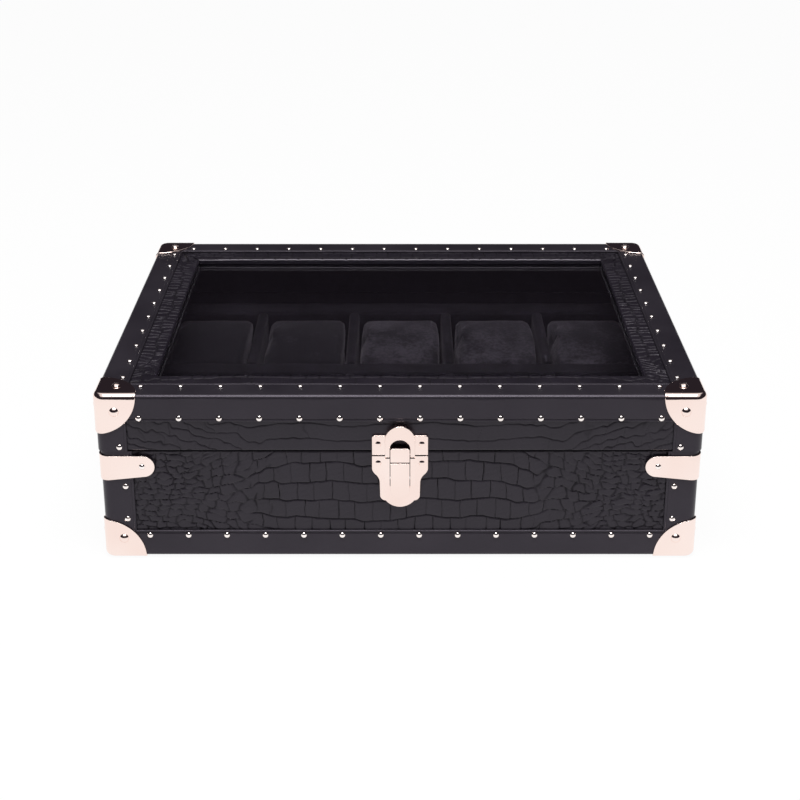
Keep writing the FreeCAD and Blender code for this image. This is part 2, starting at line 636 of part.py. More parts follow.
def latch():
    top, body, ring = lid_latch_outlines()
    keeper = LID_BOTTOM + KEEPER_RISE
    upper = plate(top, mirrored(top, body), -LATCH_PLATE, 0)
    upper = upper.fuse(plate(top, mirrored(top, ring), 0, RING_HIGH))
    crown, high_arch = arch(keeper)
    upper = upper.cut(plate(crown, high_arch, -LATCH_PLATE, 0))
    crown, full_arch = arch(LID_BOTTOM - PLATE_LAP)
    upper = upper.cut(plate(crown, full_arch, 0, RING_HIGH))
    save("lid_latch_plate", upper.removeSplitter())

    seat = -(LATCH_PLATE + LID_OVERHANG)
    z = LID_BOTTOM - PLATE_LAP - PLATE_GAP

    def on_shield(across, down):
        """Point on the shield: share of its half width, and of its drop below the base's rim."""
        return (across * LATCH_HALF, BASE_TOP - down * SHIELD_DROP)

    shield_top = (0.0, z)
    shield = [
        (LATCH_HALF, z),
        on_shield(1.0, 0.3),
        (on_shield(0.956, 0.353), on_shield(0.869, 0.401)),
        (on_shield(0.763, 0.47), on_shield(0.725, 0.554)),
        on_shield(0.713, 0.796),
        (on_shield(0.663, 0.847), on_shield(0.513, 0.88)),
        (on_shield(0.275, 0.969), on_shield(0.0, 1.0)),
    ]
    lower = plate(shield_top, mirrored(shield_top, shield), seat, 0)
    ear_low = BASE_TOP - EAR_DROP
    ear = [
        (DOME_R, z),
        (DOME_R, ear_low + 2.0),
        ((DOME_R - 0.6, ear_low + 0.6), (RING_INNER, ear_low)),
        (RING_INNER, z),
    ]
    ears = plate((RING_INNER, z), ear, 0, RING_HIGH)
    lower = lower.fuse(ears).fuse(ears.mirror(vec(0, 0, 0), RIGHT))
    lower = lower.cut(slab(-RING_INNER, RING_INNER, PLATE_Y, 0, BASE_TOP - CHANNEL_DROP, z))
    pivot = vec(-DOME_R, PLATE_Y - PIVOT_OUT, PIVOT_Z)
    pin = Part.makeCylinder(PIN_R, 2 * DOME_R, pivot, RIGHT)
    save("base_latch_plate", lower.cut(pin).removeSplitter())
    save("latch_pin", pin)

    lever_top = BASE_TOP + LEVER_RISE + SEAM_GAP
    low = BASE_TOP - LEVER_DROP
    bend = low + LEVER_HALF
    half_bend = math.sqrt(0.5) * LEVER_HALF
    start = (0.0, lever_top)
    outline = [
        (LEVER_HALF - 1.0, lever_top),
        ((LEVER_HALF - 0.3, lever_top - 0.3), (LEVER_HALF, lever_top - 1.0)),
        (LEVER_HALF, bend),
        ((half_bend, bend - half_bend), (0.0, low)),
    ]
    lever = plate(start, mirrored(start, outline), NOSE_CLEAR, LEVER_FACE)
    boss = Part.makeCylinder(BOSS_R, 2 * LEVER_HALF, vec(-LEVER_HALF, PLATE_Y - PIVOT_OUT, PIVOT_Z), RIGHT)
    under = slab(-FAR, FAR, PLATE_Y - THUMB_GAP, 0, low - 1.0, PIVOT_Z - BOSS_R - 1.0)
    throat = slab(-FAR, FAR, PLATE_Y - THUMB_GAP, 0, BASE_TOP - 4.0, lever_top - NOSE_THICK)
    groove = slab(-FAR, FAR, PLATE_Y - FAR, PLATE_Y - LEVER_FACE + GROOVE,
                  BASE_TOP - GROOVE_DROP - GROOVE, BASE_TOP - GROOVE_DROP)
    lever = lever.cut(under).cut(throat).cut(groove).fuse(boss)
    bore = Part.makeCylinder(PIN_R + PIN_FIT, 2 * DOME_R, pivot, RIGHT)
    save("latch_lever", lever.cut(bore).removeSplitter())

    foot = low + 1.1
    tip = THUMB_GAP - 0.05
    bend_z = foot + 1.8
    end_z = foot + 5.2
    profile = [
        (0.0, foot),
        (SPRING, foot),
        (SPRING, bend_z - 0.15),
        (tip, end_z),
        (tip - SPRING, end_z + 0.15),
        (0.0, bend_z),
        (0.0, foot),
    ]
    strip = Part.makePolygon([vec(-SPRING_HALF, PLATE_Y - out, up) for out, up in profile])
    save("latch_spring", Part.Face(strip).extrude(vec(2 * SPRING_HALF, 0, 0)))


def leaf_plate(x, z0, z1, grow, reach):
    half = LEAF_LENGTH / 2 + grow
    return slab(x - half, x + half, BASE_INNER_D + LEAF_INSET - grow, reach, z0, z1)


def base_leaf_beds():
    """Shallow mortises in the back rim that the base leaves sit in."""
    beds = [leaf_plate(x, BASE_TOP - LEAF, FAR, LEAF_FIT, FAR) for x in (-HINGE_X, HINGE_X)]
    return Part.makeCompound(beds)


def lid_leaf_beds():
    """Shallow mortises in the lid's back rim that the lid leaves sit in."""
    beds = [leaf_plate(x, 0, LID_BOTTOM + LEAF, LEAF_FIT, FAR) for x in (-HINGE_X, HINGE_X)]
    return Part.makeCompound(beds)


def barrel(x0, x1, radius):
    return Part.makeCylinder(radius, x1 - x0, vec(x0, HINGE_Y, HINGE_Z), RIGHT)


def stop_bar(x0, x1, r0, r1, deg0, deg1):
    """Bar of ring-sector section about the hinge axis; angles turn from +Y towards +Z."""
    def at(r, deg):
        turn = math.radians(deg)
        return vec(x0, HINGE_Y + r * math.cos(turn), HINGE_Z + r * math.sin(turn))
    mid = (deg0 + deg1) / 2
    edges = [
        Part.makeLine(at(r0, deg0), at(r1, deg0)),
        Part.Arc(at(r1, deg0), at(r1, mid), at(r1, deg1)).toShape(),
        Part.makeLine(at(r1, deg1), at(r0, deg1)),
        Part.Arc(at(r0, deg1), at(r0, mid), at(r0, deg0)).toShape(),
    ]
    return Part.Face(Part.Wire(edges)).extrude(vec(x1 - x0, 0, 0))


def hinges():
    third = LEAF_LENGTH / 3
    clear = KNUCKLE_R + KNUCKLE_CLEAR
    face = LID_SWING / 2 + STOP_SLACK / 2
    pins = []
    for name, x in (("left", -HINGE_X), ("right", HINGE_X)):
        x0 = x - LEAF_LENGTH / 2
        x1 = x + LEAF_LENGTH / 2
        a = x0 + third
        b = x1 - third
        low = leaf_plate(x, BASE_TOP - LEAF, BASE_TOP, 0, HINGE_Y)
        low = low.cut(barrel(a - KNUCKLE_CLEAR / 2, b + KNUCKLE_CLEAR / 2, clear))
        ends = ((x0, a - KNUCKLE_CLEAR / 2), (b + KNUCKLE_CLEAR / 2, x1))
        for e0, e1 in ends:
            low = low.fuse(barrel(e0, e1, KNUCKLE_R))
            low = low.fuse(stop_bar(e0, e1, HINGE_PIN_R, clear, -face - STOP_WIDE, -face))
        low = low.fuse(stop_bar(x0, x1, clear, STOP_REACH, -face - STOP_WIDE, -face))
        save("hinge_base_leaf_" + name, low.cut(barrel(x0, x1, HINGE_PIN_R)).removeSplitter())
        high = leaf_plate(x, LID_BOTTOM, LID_BOTTOM + LEAF, 0, HINGE_Y)
        high = high.cut(barrel(x0 - 1.0, a, clear)).cut(barrel(b, x1 + 1.0, clear))
        knuckle0 = a + KNUCKLE_CLEAR / 2
        knuckle1 = b - KNUCKLE_CLEAR / 2
        high = high.fuse(barrel(knuckle0, knuckle1, KNUCKLE_R))
        high = high.fuse(stop_bar(knuckle0, knuckle1, HINGE_PIN_R, STOP_REACH, face, face + STOP_WIDE))
        save("hinge_lid_leaf_" + name, high.cut(barrel(x0, x1, HINGE_PIN_R + HINGE_FIT)).removeSplitter())
        pins.append(barrel(x0, x1, HINGE_PIN_R))
    save("hinge_pins", pins)


base_carcass()
base_leather()
base_metal()
base_nails()
tray()
cushions()
lid_carcass()
lid_leather()
lid_metal()
lid_nails()
latch()
hinges()
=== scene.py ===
# %% [markdown]
# # A leather-covered watch box
# The construction comes from the CAD frame: where every board, plate and hinge sits is already decided.
# This lesson dresses it. Each piece that shows is a surface worked out with numpy, and each finish is a
# node material. Lengths are worked out in millimetres, because a maker thinks in them, and become metres at
# the end.

# %% Load the frame
import bmesh
import bpy
import numpy as np
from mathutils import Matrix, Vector


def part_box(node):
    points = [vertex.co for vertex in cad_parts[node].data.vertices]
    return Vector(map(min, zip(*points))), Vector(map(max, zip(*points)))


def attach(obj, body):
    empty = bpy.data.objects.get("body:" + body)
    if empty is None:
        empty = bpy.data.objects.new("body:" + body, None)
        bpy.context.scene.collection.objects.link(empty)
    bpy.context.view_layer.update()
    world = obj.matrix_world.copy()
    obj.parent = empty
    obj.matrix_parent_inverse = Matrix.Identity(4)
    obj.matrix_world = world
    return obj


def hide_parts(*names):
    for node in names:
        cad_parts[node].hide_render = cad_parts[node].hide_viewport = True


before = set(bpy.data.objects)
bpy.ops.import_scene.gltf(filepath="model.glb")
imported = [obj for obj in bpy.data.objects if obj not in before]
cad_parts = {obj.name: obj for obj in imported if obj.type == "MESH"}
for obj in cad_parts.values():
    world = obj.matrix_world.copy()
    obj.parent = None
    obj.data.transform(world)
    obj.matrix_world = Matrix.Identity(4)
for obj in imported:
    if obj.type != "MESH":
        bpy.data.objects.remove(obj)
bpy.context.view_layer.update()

# %% [markdown]
# ## Measures
# The box is a lid and a base, each bound along its edges with smooth leather. Instead of typing sizes
# twice, they are read from the frame's own pieces, so that the dressing follows the construction if that
# changes.

# %% Read the main sizes in millimetres


def span(node):
    """Lowest and highest corner of a CAD node, in millimetres."""
    low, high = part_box(node)
    return np.array(low) * 1000, np.array(high) * 1000


(_, _, LID_STRIP_LOW), (LID_W, LID_D, LID_TOP) = span("lid_edge_bindings")
(_, _, BASE_BOTTOM), (BASE_W, BASE_D, BASE_STRIP_TOP) = span("base_edge_bindings")
LID_BOTTOM = span("lid_corner_bindings")[0][2]
BASE_TOP = span("base_corner_bindings")[1][2]
REBATE = 4.7
WINDOW_W, GLASS_TOP = span("glass_pane")[1][0] - REBATE, span("glass_pane")[1][2]
CORNER, FOLD = 5.5, 2.3
LEATHER = 1.2
SHEET = 0.9
HALVES = {"lid": (LID_W, LID_D), "base": (BASE_W, BASE_D)}
print("lid half width %.1f, half depth %.1f, top %.1f mm" % (LID_W, LID_D, LID_TOP))

# %% [markdown]
# ## Turning arrays into pieces
# Most pieces here are closed skins: a ring of points (a section) carried along a path, with both ends
# filled. Blender could do this with curves and bevel objects, but whole arrays give control over every bump
# and crease. A closed skin encloses a volume, and the sign of that volume tells whether its faces point
# outwards.

# %% Mesh helpers


def ring_quads(rings, around):
    """Quads between neighbouring rings; every ring closes on itself."""
    number = np.arange(rings * around).reshape(rings, around)
    right = np.roll(number, -1, axis=1)
    return np.stack([number[:-1], right[:-1], right[1:], number[1:]], axis=-1).reshape(-1, 4)


def turned_out(points, faces):
    """Flip all faces when the enclosed volume (corner times area vector, summed) is negative."""
    volume = 0.0
    for f in faces:
        p = points[f]
        volume += (p[:, 0] * np.cross(p, np.roll(p, -1, axis=1)).sum(axis=1)).sum()
    return points, faces if volume > 0 else [f[:, ::-1] for f in faces]


def closed_skin(points):
    """Closed skin over a stack of closed rings: points[i, j] is point j of ring i."""
    rings, around = points.shape[:2]
    first = np.arange(around)
    ends = np.array([first[::-1], first + (rings - 1) * around])
    return turned_out(points.reshape(-1, 3), [ring_quads(rings, around), ends])


def joined(parts):
    """Several skins as one list of points and faces."""
    starts = np.cumsum([0] + [len(p) for p, _ in parts])
    faces = [f + start for (_, fs), start in zip(parts, starts) for f in fs]
    return np.concatenate([p for p, _ in parts]), faces


def points_of(mesh):
    """The mesh's points as an array, in metres."""
    points = np.empty((len(mesh.vertices), 3), np.float32)
    mesh.vertices.foreach_get("co", points.ravel())
    return points


def merged(node, name, flatten=False):
    """Copy of a CAD node's mesh whose triangles share points; flat ones can be dissolved into faces."""
    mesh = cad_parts[node].data.copy()
    mesh.name = name
    work = bmesh.new()
    work.from_mesh(mesh)
    bmesh.ops.remove_doubles(work, verts=work.verts, dist=1e-6)
    if flatten:
        bmesh.ops.dissolve_limit(work, angle_limit=np.radians(2), verts=work.verts, edges=work.edges)
    work.to_mesh(mesh)
    work.free()
    return mesh


def link(name, data):
    """New object in the scene."""
    made = bpy.data.objects.new(name, data)
    bpy.context.scene.collection.objects.link(made)
    return made


def mark_painted_light_and_shade(mesh, groove):
    """Let every point carry a groove value: finishes paint its places darker as shade, lighter below zero as
    a highlight, and on the hide rougher.
    """
    mesh.attributes.new("groove", "FLOAT", "POINT").data.foreach_set("value", groove.ravel())


def add_piece(name, skin, body, finish, stands_for=(), sharp=40, groove=None):
    """Mesh from points in millimetres and arrays of faces, riding on one body."""
    points, faces = skin
    corners = np.concatenate([f.ravel() for f in faces])
    sizes = np.concatenate([np.full(len(f), f.shape[1]) for f in faces])
    mesh = bpy.data.meshes.new(name)
    mesh.vertices.add(len(points))
    mesh.vertices.foreach_set("co", (points / 1000).ravel())
    mesh.loops.add(len(corners))
    mesh.loops.foreach_set("vertex_index", corners)
    mesh.polygons.add(len(sizes))
    mesh.polygons.foreach_set("loop_start", np.cumsum(sizes) - sizes)
    mesh.polygons.foreach_set("use_smooth", np.ones(len(sizes), bool))
    mesh.update(calc_edges=True)
    mesh.set_sharp_from_angle(angle=np.radians(sharp))
    if groove is not None:
        mark_painted_light_and_shade(mesh, groove)
    return settle(link(name, mesh), body, finish, stands_for)


def settle(made, body, finish, stands_for=()):
    """Give an object its finish and let it ride on its body."""
    made.data.materials.clear()
    made.data.materials.append(finish)
    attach(made, body)
    if stands_for:
        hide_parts(*stands_for)
    print(made.name, len(made.data.vertices), "points on", body)
    return made


def smooth(t):
    """Soft step from 0 to 1 while t goes from 0 to 1."""
    t = np.clip(t, 0, 1)
    return t * t * (3 - 2 * t)


# %% [markdown]
# ## Writing shaders as sums
# A material is a graph of nodes, which is slow to read as code. A small class wraps a socket so that plain
# arithmetic on it adds Math nodes, and one method adds any other node from its type, settings and sockets.

# %% Shader helpers


class Wire:
    """A value, colour or vector in a finish. Arithmetic on it adds Math nodes."""

    def __init__(self, finish, socket):
        self.finish, self.socket = finish, socket

    def _math(self, operation, first, second):
        return self.finish.node("Math", {"operation": operation}, {0: first, 1: second})

    def __add__(self, other):
        return self._math("ADD", self, other)

    def __sub__(self, other):
        return self._math("SUBTRACT", self, other)

    def __rsub__(self, other):
        return self._math("SUBTRACT", other, self)

    def __mul__(self, other):
        return self._math("MULTIPLY", self, other)

    __radd__ = __add__
    __rmul__ = __mul__


class Finish:
    """A material with one Principled shader; constants go straight on its sockets."""

    def __init__(self, name, **constants):
        self.material = bpy.data.materials.new(name)
        self.material.use_nodes = True
        self.tree = self.material.node_tree
        self.shader = self.tree.nodes["Principled BSDF"]
        for socket, value in constants.items():
            self.shader.inputs[socket.replace("_", " ")].default_value = value

    def node(self, kind, settings=None, sockets=None, out=0):
        """Add any node: its settings first, then values or wires on its sockets."""
        made = self.tree.nodes.new("ShaderNode" + kind)
        for key, value in (settings or {}).items():
            if key == "stops":
                self.stops(made.color_ramp, value)
            else:
                setattr(made, key, value)
        for key, value in (sockets or {}).items():
            self.join(value, made.inputs[key])
        return Wire(self, made.outputs[out])

    def stops(self, ramp, stops):
        while len(ramp.elements) < len(stops):
            ramp.elements.new(0.5)
        for element, (place, colour) in zip(ramp.elements, stops):
            element.position, element.color = place, (*colour, 1)

    def join(self, value, socket):
        if isinstance(value, Wire):
            self.tree.links.new(value.socket, socket)
        else:
            socket.default_value = value

    def place(self, stretch=(1, 1, 1)):
        """Object coordinates, stretched."""
        return self.node("Mapping", {}, {"Vector": self.node("TexCoord", out=3), "Scale": stretch})

    def groove(self):
        """The groove value that a mesh carries, 0 where it carries none; finishes paint shade and highlight
        with it.
        """
        return self.node("Attribute", {"attribute_name": "groove"}, out=2)

    def noise(self, size, detail=2.0, stretch=(1, 1, 1)):
        """Cloudy value from 0 to 1 whose features are about size millimetres."""
        sockets = {"Vector": self.place(stretch), "Scale": 1000 / size, "Detail": detail}
        return self.node("TexNoise", {}, sockets)

    def ramp(self, value, *stops):
        return self.node("ValToRGB", {"stops": stops}, {"Fac": value})

    def bump(self, height, depth, strength=1.0):
        """Normal from a height field of that depth in millimetres."""
        sockets = {"Height": height, "Distance": depth / 1000, "Strength": strength}
        return self.node("Bump", {}, sockets)

    def wear(self, **wires):
        for socket, wire in wires.items():
            self.join(wire, self.shader.inputs[socket.replace("_", " ")])
        return self.material

    def blend(self, share, other):
        """The finish mixed with another shader by that share."""
        both = self.node("MixShader", {}, {0: share, 1: Wire(self, self.shader.outputs[0]), 2: other})
        self.join(both, self.tree.nodes["Material Output"].inputs["Surface"])
        return self.material


# %% [markdown]
# ## Leather finishes
# The box is covered in two black leathers. The bindings are smooth calf with a satin dressing: fine pores,
# slow changes of gloss where hands have polished it. The panels are embossed hide: the scales are real
# relief in the mesh, so the shader only adds what is finer. A polishing roller reaches the tops of the
# scales and not the grooves, so a thin coat of gloss falls off in the grooves, which are an attribute of
# the mesh.

# %% Smooth leather and embossed leather


def smooth_leather():
    f = Finish("smooth_leather", Specular_IOR_Level=0.38, Specular_Tint=(0.95, 0.85, 1.0, 1))
    pores = f.node("TexVoronoi", {}, {"Vector": f.place(), "Scale": 1400.0})
    grain = f.noise(0.9, 3.0) * 0.5 + pores * 0.5
    drift = f.noise(38, 2.0)
    tone = drift * 0.75 + grain * 0.25
    colour = f.ramp(tone, (0.3, (0.0145, 0.0124, 0.0164)), (0.72, (0.0245, 0.0214, 0.0270)))
    rough = 0.24 + drift * 0.08 + grain * 0.06
    return f.wear(Base_Color=colour, Roughness=rough, Normal=f.bump(grain, 0.04, 0.45))


def embossed_leather():
    f = Finish("embossed_leather", Specular_IOR_Level=0.32, Specular_Tint=(0.95, 0.84, 1.0, 1),
               Coat_Roughness=0.28)
    groove = f.groove()
    grain = f.noise(0.7, 4.0)
    creases = f.node("TexVoronoi", {"feature": "DISTANCE_TO_EDGE"}, {"Vector": f.place(), "Scale": 420.0})
    fine = f.ramp(creases, (0.0, (0, 0, 0)), (0.16, (1, 1, 1)))
    drift = f.noise(26, 2.0)
    # Painted shade: the colour is darkened where the mesh marks a groove. Where the mark is below zero, on
    # the window's rubbed rim, the colour is lighter, a painted highlight.
    tone = drift * 0.6 + grain * 0.4 - groove * 0.7
    colour = f.ramp(tone, (0.0, (0.0012, 0.0009, 0.0018)), (0.62, (0.0125, 0.0102, 0.0152)))
    polish = 0.28 - groove * 0.3
    rough = 0.33 + drift * 0.1 + groove * 0.5
    relief = f.bump(fine * 0.4 + grain * 0.6, 0.06, 0.5)
    return f.wear(Base_Color=colour, Roughness=rough, Coat_Weight=polish, Normal=relief)


CALF = smooth_leather()
CROC = embossed_leather()

# %% [markdown]
# ## Metal, suede, felt, wood and glass
# The caps, straps and latch are polished and plated in rose gold: nearly mirror-like, with faint wiping
# marks. The small nails are plated more thinly and look paler. A groove on polished metal is only ever seen
# in shade, so the lever's groove is painted dark, a painted shade. The inside is lined with black suede,
# whose nap lies in cloudy patches and catches light at its edge; some cushions are painted darker, a
# painted shade, most in the first column. Wood shows only at the rims, stained black. The pane is
# plain clear glass that lets lamp light through.

# %% The other finishes


def rose_gold(name, deep, pale):
    f = Finish(name, Metallic=1.0)
    wiping = f.noise(5, 3.0, (1, 1, 0.18))
    drift = f.noise(30, 1.0)
    shade = f.groove()
    # Painted shade: where a mesh marks a groove, the colour runs down to near black.
    colour = f.ramp(drift - shade, (0.0, (0.02, 0.015, 0.013)), (0.12, deep), (0.3, deep), (0.7, pale))
    return f.wear(Base_Color=colour, Roughness=0.06 + wiping * 0.06, Normal=f.bump(wiping, 0.01, 0.2))


def steel():
    f = Finish("spring_steel", Metallic=1.0)
    drawn = f.noise(0.6, 2.0, (0.05, 1, 1))
    colour = f.ramp(drawn, (0.3, (0.42, 0.42, 0.44)), (0.7, (0.62, 0.62, 0.64)))
    return f.wear(Base_Color=colour, Roughness=0.22 + drawn * 0.15, Normal=f.bump(drawn, 0.01, 0.4))


def suede(name, dark, light, sheen):
    f = Finish(name, Specular_IOR_Level=0.08, Sheen_Weight=sheen, Sheen_Roughness=0.45,
               Sheen_Tint=(0.62, 0.56, 0.66, 1))
    nap = f.noise(0.45, 3.0)
    brushed = f.noise(13, 3.0, (1, 0.7, 1))
    pile = f.noise(2.2, 4.0)
    painted_shade = f.groove()
    # Painted shade: the value that a mesh carries darkens the colour, so the marked cushions look shaded.
    tone = brushed * 0.4 + pile * 0.45 + nap * 0.15 - painted_shade * 0.24
    colour = f.ramp(tone, (0.42, dark), (0.57, light))
    relief = f.bump(nap * 0.7 + pile * 0.3, 0.18, 0.6)
    return f.wear(Base_Color=colour, Roughness=0.82 + nap * 0.15, Normal=relief)


def felt():
    f = Finish("felt", Specular_IOR_Level=0.1, Sheen_Weight=0.3)
    fibres = f.noise(0.8, 4.0, (1, 0.3, 1)) * 0.5 + f.noise(0.8, 4.0, (0.3, 1, 1)) * 0.5
    colour = f.ramp(fibres, (0.35, (0.012, 0.012, 0.013)), (0.65, (0.03, 0.03, 0.032)))
    return f.wear(Base_Color=colour, Roughness=0.9 + fibres * 0.1, Normal=f.bump(fibres, 0.3, 0.7))


def stained_wood():
    f = Finish("stained_wood", Specular_IOR_Level=0.35)
    warp = f.noise(30, 2.0)
    lines = f.noise(3.0, 4.0, (0.06, 0.06, 1))
    tone = lines * 0.75 + warp * 0.25
    colour = f.ramp(tone, (0.35, (0.010, 0.009, 0.009)), (0.65, (0.030, 0.026, 0.025)))
    return f.wear(Base_Color=colour, Roughness=0.42 + lines * 0.2, Normal=f.bump(lines, 0.08, 0.4))


def clear_glass():
    f = Finish("clear_glass", Roughness=0.0, Transmission_Weight=1.0, IOR=1.45,
               Specular_Tint=(0.9, 0.76, 1, 1))
    haze = f.noise(60, 2.0)
    tint = f.ramp(haze, (0.3, (0.965, 0.962, 0.97)), (0.7, (0.978, 0.976, 0.98)))
    f.wear(Base_Color=tint)
    through = f.node("BsdfTransparent", {}, {"Color": (0.95, 0.95, 0.955, 1)})
    return f.blend(f.node("LightPath", out=1), through)


GOLD = rose_gold("rose_gold", (0.938, 0.762, 0.70), (0.97, 0.82, 0.765))
NAIL_GOLD = rose_gold("rose_gold_nails", (0.955, 0.87, 0.835), (0.98, 0.915, 0.89))
STEEL, FELT, WOOD, GLASS = steel(), felt(), stained_wood(), clear_glass()
LINING = suede("suede_lining", (0.0007, 0.0004, 0.0012), (0.0040, 0.0030, 0.0053), 0.04)
PAD = suede("suede_cushion", (0.0022, 0.0017, 0.0030), (0.0195, 0.0166, 0.0222), 0.08)

# %% [markdown]
# ## Finishing the plain boards
# Walls, floor, linings and hinges keep the shape that the frame gives them, so they only need a finish.

# %% Finishes on the frame's own pieces
plain = {
    WOOD: ["%s_%s_wall" % (body, side) for body in HALVES for side in ("front", "back", "left", "right")]
          + ["base_floor", "lid_top_rails"],
    FELT: ["base_felt"],
    LINING: ["base_lining", "lid_lining", "glazing_bead", "tray_board"],
    GLASS: ["glass_pane"],
    GOLD: ["hinge_%s_leaf_%s" % (body, side) for body in HALVES for side in ("left", "right")],
    STEEL: ["latch_pin", "latch_spring", "hinge_pins"],
}
for finish, names in plain.items():
    for name in names:
        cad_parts[name].data.materials.clear()
        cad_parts[name].data.materials.append(finish)
print("finished", sum(map(len, plain.values())), "plain pieces")

# %% [markdown]
# ## Embossed scales
# The hide is pressed with a reptile pattern: large squarish scales in rows along the middle, and small ones
# that lie like shingles towards both ends, where the rows crowd together. A Voronoi texture gives even
# pebbles, so the pattern is worked out as counting instead. One field counts rows upwards and one counts
# scales along a row. In the middle a groove runs wherever a count passes a whole number, and the part after
# the point says where in its scale a spot lies. Because the counts divide by a size that changes along the
# panel, the rows fan out by themselves.

# %% Counting rows and scales


def waves(u, v, size, seed, count=7):
    """Smooth unevenness of about -1 to 1: a sum of sine waves in random directions, size millimetres long."""
    chance = np.random.default_rng(seed)
    total = np.zeros(np.broadcast(u, v).shape)
    for turn, phase, length in chance.uniform((0, 0, 0.7), (2 * np.pi, 2 * np.pi, 1.5), (count, 3)):
        total += np.sin(2 * np.pi * (u * np.cos(turn) + v * np.sin(turn)) / (size * length) + phase)
    return total / np.sqrt(2 * count)


def scatter(i, j, seed):
    """A number from 0 to 1 that looks random but is always the same for the same whole numbers."""
    return np.modf(np.abs(np.sin(i * 12.9898 + j * 78.233 + seed * 3.7) * 43758.5453))[0]


def scale_size(u, skin):
    """Width and height of the scales at u, and how far into the middle u is, from 0 to 1."""
    middle = smooth((skin["end"] - np.abs(u)) / skin["fade"])
    wide = skin["small"][0] + (skin["large"][0] - skin["small"][0]) * middle
    tall = skin["small"][1] + (skin["large"][1] - skin["small"][1]) * middle
    return wide, tall, middle


def counts(u, v, skin):
    """Row count and count along the row. Rows bulge where scales are full, and each row starts elsewhere."""
    _, tall, middle = scale_size(u, skin)
    fine = np.linspace(-190, 190, 3000)
    passed = np.cumsum((fine[1] - fine[0]) / scale_size(fine, skin)[0])
    seed = skin["seed"]
    along = np.interp(u, fine, passed) + skin.get("wander", 0.22) * waves(u, v, 15, seed) * (1.2 - middle)
    lean = skin.get("lean", 0.0) * np.maximum(np.abs(u) - skin["end"] + skin["fade"] / 2, 0)
    row = (v - skin["axis"] + lean) / tall + 0.3 * waves(u, v, 21, seed + 1) * (1.1 - 0.85 * middle)
    row = row + 0.14 * waves(u, 0 * v, 46, seed + 2) + 0.2 * waves(u, v, 8, seed + 3) * (1 - 0.85 * middle)
    row = row - 0.08 * (1 - middle) * np.cos(np.pi * row) * np.cos(2 * np.pi * along)
    number = np.floor(row)
    along = along + scatter(number, 0, seed)
    along = along + 0.1 * waves(along * 9, number * 31, 17, seed + 4)
    return row, along


# %% [markdown]
# Towards the ends the scales are no longer squares in straight rows but uneven pebbles. For those, every
# count of row and column gets a centre that is shifted at random, and each spot belongs to its nearest
# centre. The groove then runs half-way between two centres, so the distance to it is half the difference of
# the two nearest ones.

# %% Uneven pebbles
NEIGHBOURS = np.array([-1, 0, 1])[:, None, None]
UP_SHIFT, SIDE_SHIFT = 0.22, 0.5


def pebbles(row, along, wide, tall, seed, stretch):
    """Distance in millimetres to the nearest border, and how far up in its pebble a spot lies, in rows."""
    first = np.full(row.shape, 1e3)
    second, rise = first.copy(), np.zeros(row.shape)
    for i in np.floor(row) + NEIGHBOURS:
        moved = along + scatter(i, 0, seed)
        for j in np.floor(moved) + NEIGHBOURS:
            up = row - i - 0.5 - UP_SHIFT * (scatter(i, j, seed + 1) - 0.5)
            side = moved - j - 0.5 - SIDE_SHIFT * (scatter(i, j, seed + 2) - 0.5)
            far = np.hypot(stretch * side * wide, up * tall)
            second = np.minimum(second, np.maximum(first, far))
            rise = np.where(far < first, up, rise)
            first = np.minimum(first, far)
    return (second - first) / 2, rise


# %% Heights of an embossed panel


def embossed(u, v, skin):
    """Height in millimetres and groove strength over a grid."""
    seed, fine = skin["seed"], skin["fine"]
    wide, tall, middle = scale_size(u, skin)
    row, along = counts(u, v, skin)
    post = np.round(along)
    level = np.abs(row - np.round(row)) * tall
    upright = np.abs(along - post) * wide
    patchy = 0.78 + 0.22 * waves(u, v, 30, seed + 5)
    deep_level = np.exp(-((level / fine) ** 2)) * patchy
    some = 0.25 + 0.75 * scatter(np.floor(row), post, seed)
    strong = skin["upright"][1] + (skin["upright"][0] - skin["upright"][1]) * middle
    deep_upright = np.exp(-((upright / (0.85 * fine)) ** 2)) * np.minimum(some * strong, 1)
    grid = 1 - (1 - deep_level) * (1 - deep_upright)
    gap, rise = pebbles(row, along, wide, tall, seed, skin.get("stretch", 0.44))
    square = smooth((middle + 0.2 * waves(u, v, 24, seed + 7) - skin.get("loose", 0.55)) / 0.12)
    groove = square * grid + (1 - square) * 0.75 * np.exp(-((gap / (0.55 * fine)) ** 2)) * patchy
    part = row - np.floor(row)
    full = (1 - np.abs(2 * part - 1) ** 3) * (1 - np.abs(2 * (along - np.floor(along)) - 1) ** 4)
    full = square * full + (1 - square) * (1 - 0.6 * np.exp(-gap / (0.12 * tall)))
    shingle = -rise * (1 - square)
    crease = waves(u, v, 2.6, seed + 6) * 0.06
    height = skin["depth"] * (0.4 * (full - 1) * (1 - 0.6 * middle) + 0.45 * shingle + crease - 0.85 * groove)
    return height - skin["depth"] * 0.45 * (1 - middle), groove


BASE_AXIS = BASE_STRIP_TOP + 0.45 * (BASE_TOP - BASE_STRIP_TOP)
LID_AXIS = LID_BOTTOM + 0.4 * (LID_STRIP_LOW - LID_BOTTOM)
BASE_SKIN = {"large": (9.9, 11.9), "small": (7.4, 3.5), "end": 122, "fade": 74, "axis": BASE_AXIS - 3.5,
             "upright": (1.0, 0.85), "fine": 0.34, "depth": 0.58, "seed": 3}
SIDE_SKIN = dict(BASE_SKIN, end=80, fade=50, seed=8)
LID_SKIN = {"large": (46.0, 9.5), "small": (11.0, 5.6), "end": 116, "fade": 60, "axis": LID_AXIS,
            "lean": -0.3, "upright": (0.3, 0.4), "fine": 0.3, "depth": 0.26, "loose": -0.6, "seed": 5}
LID_SIDE_SKIN = dict(LID_SKIN, end=84, fade=50, seed=11)
up = np.linspace(BASE_STRIP_TOP, BASE_TOP, 90)
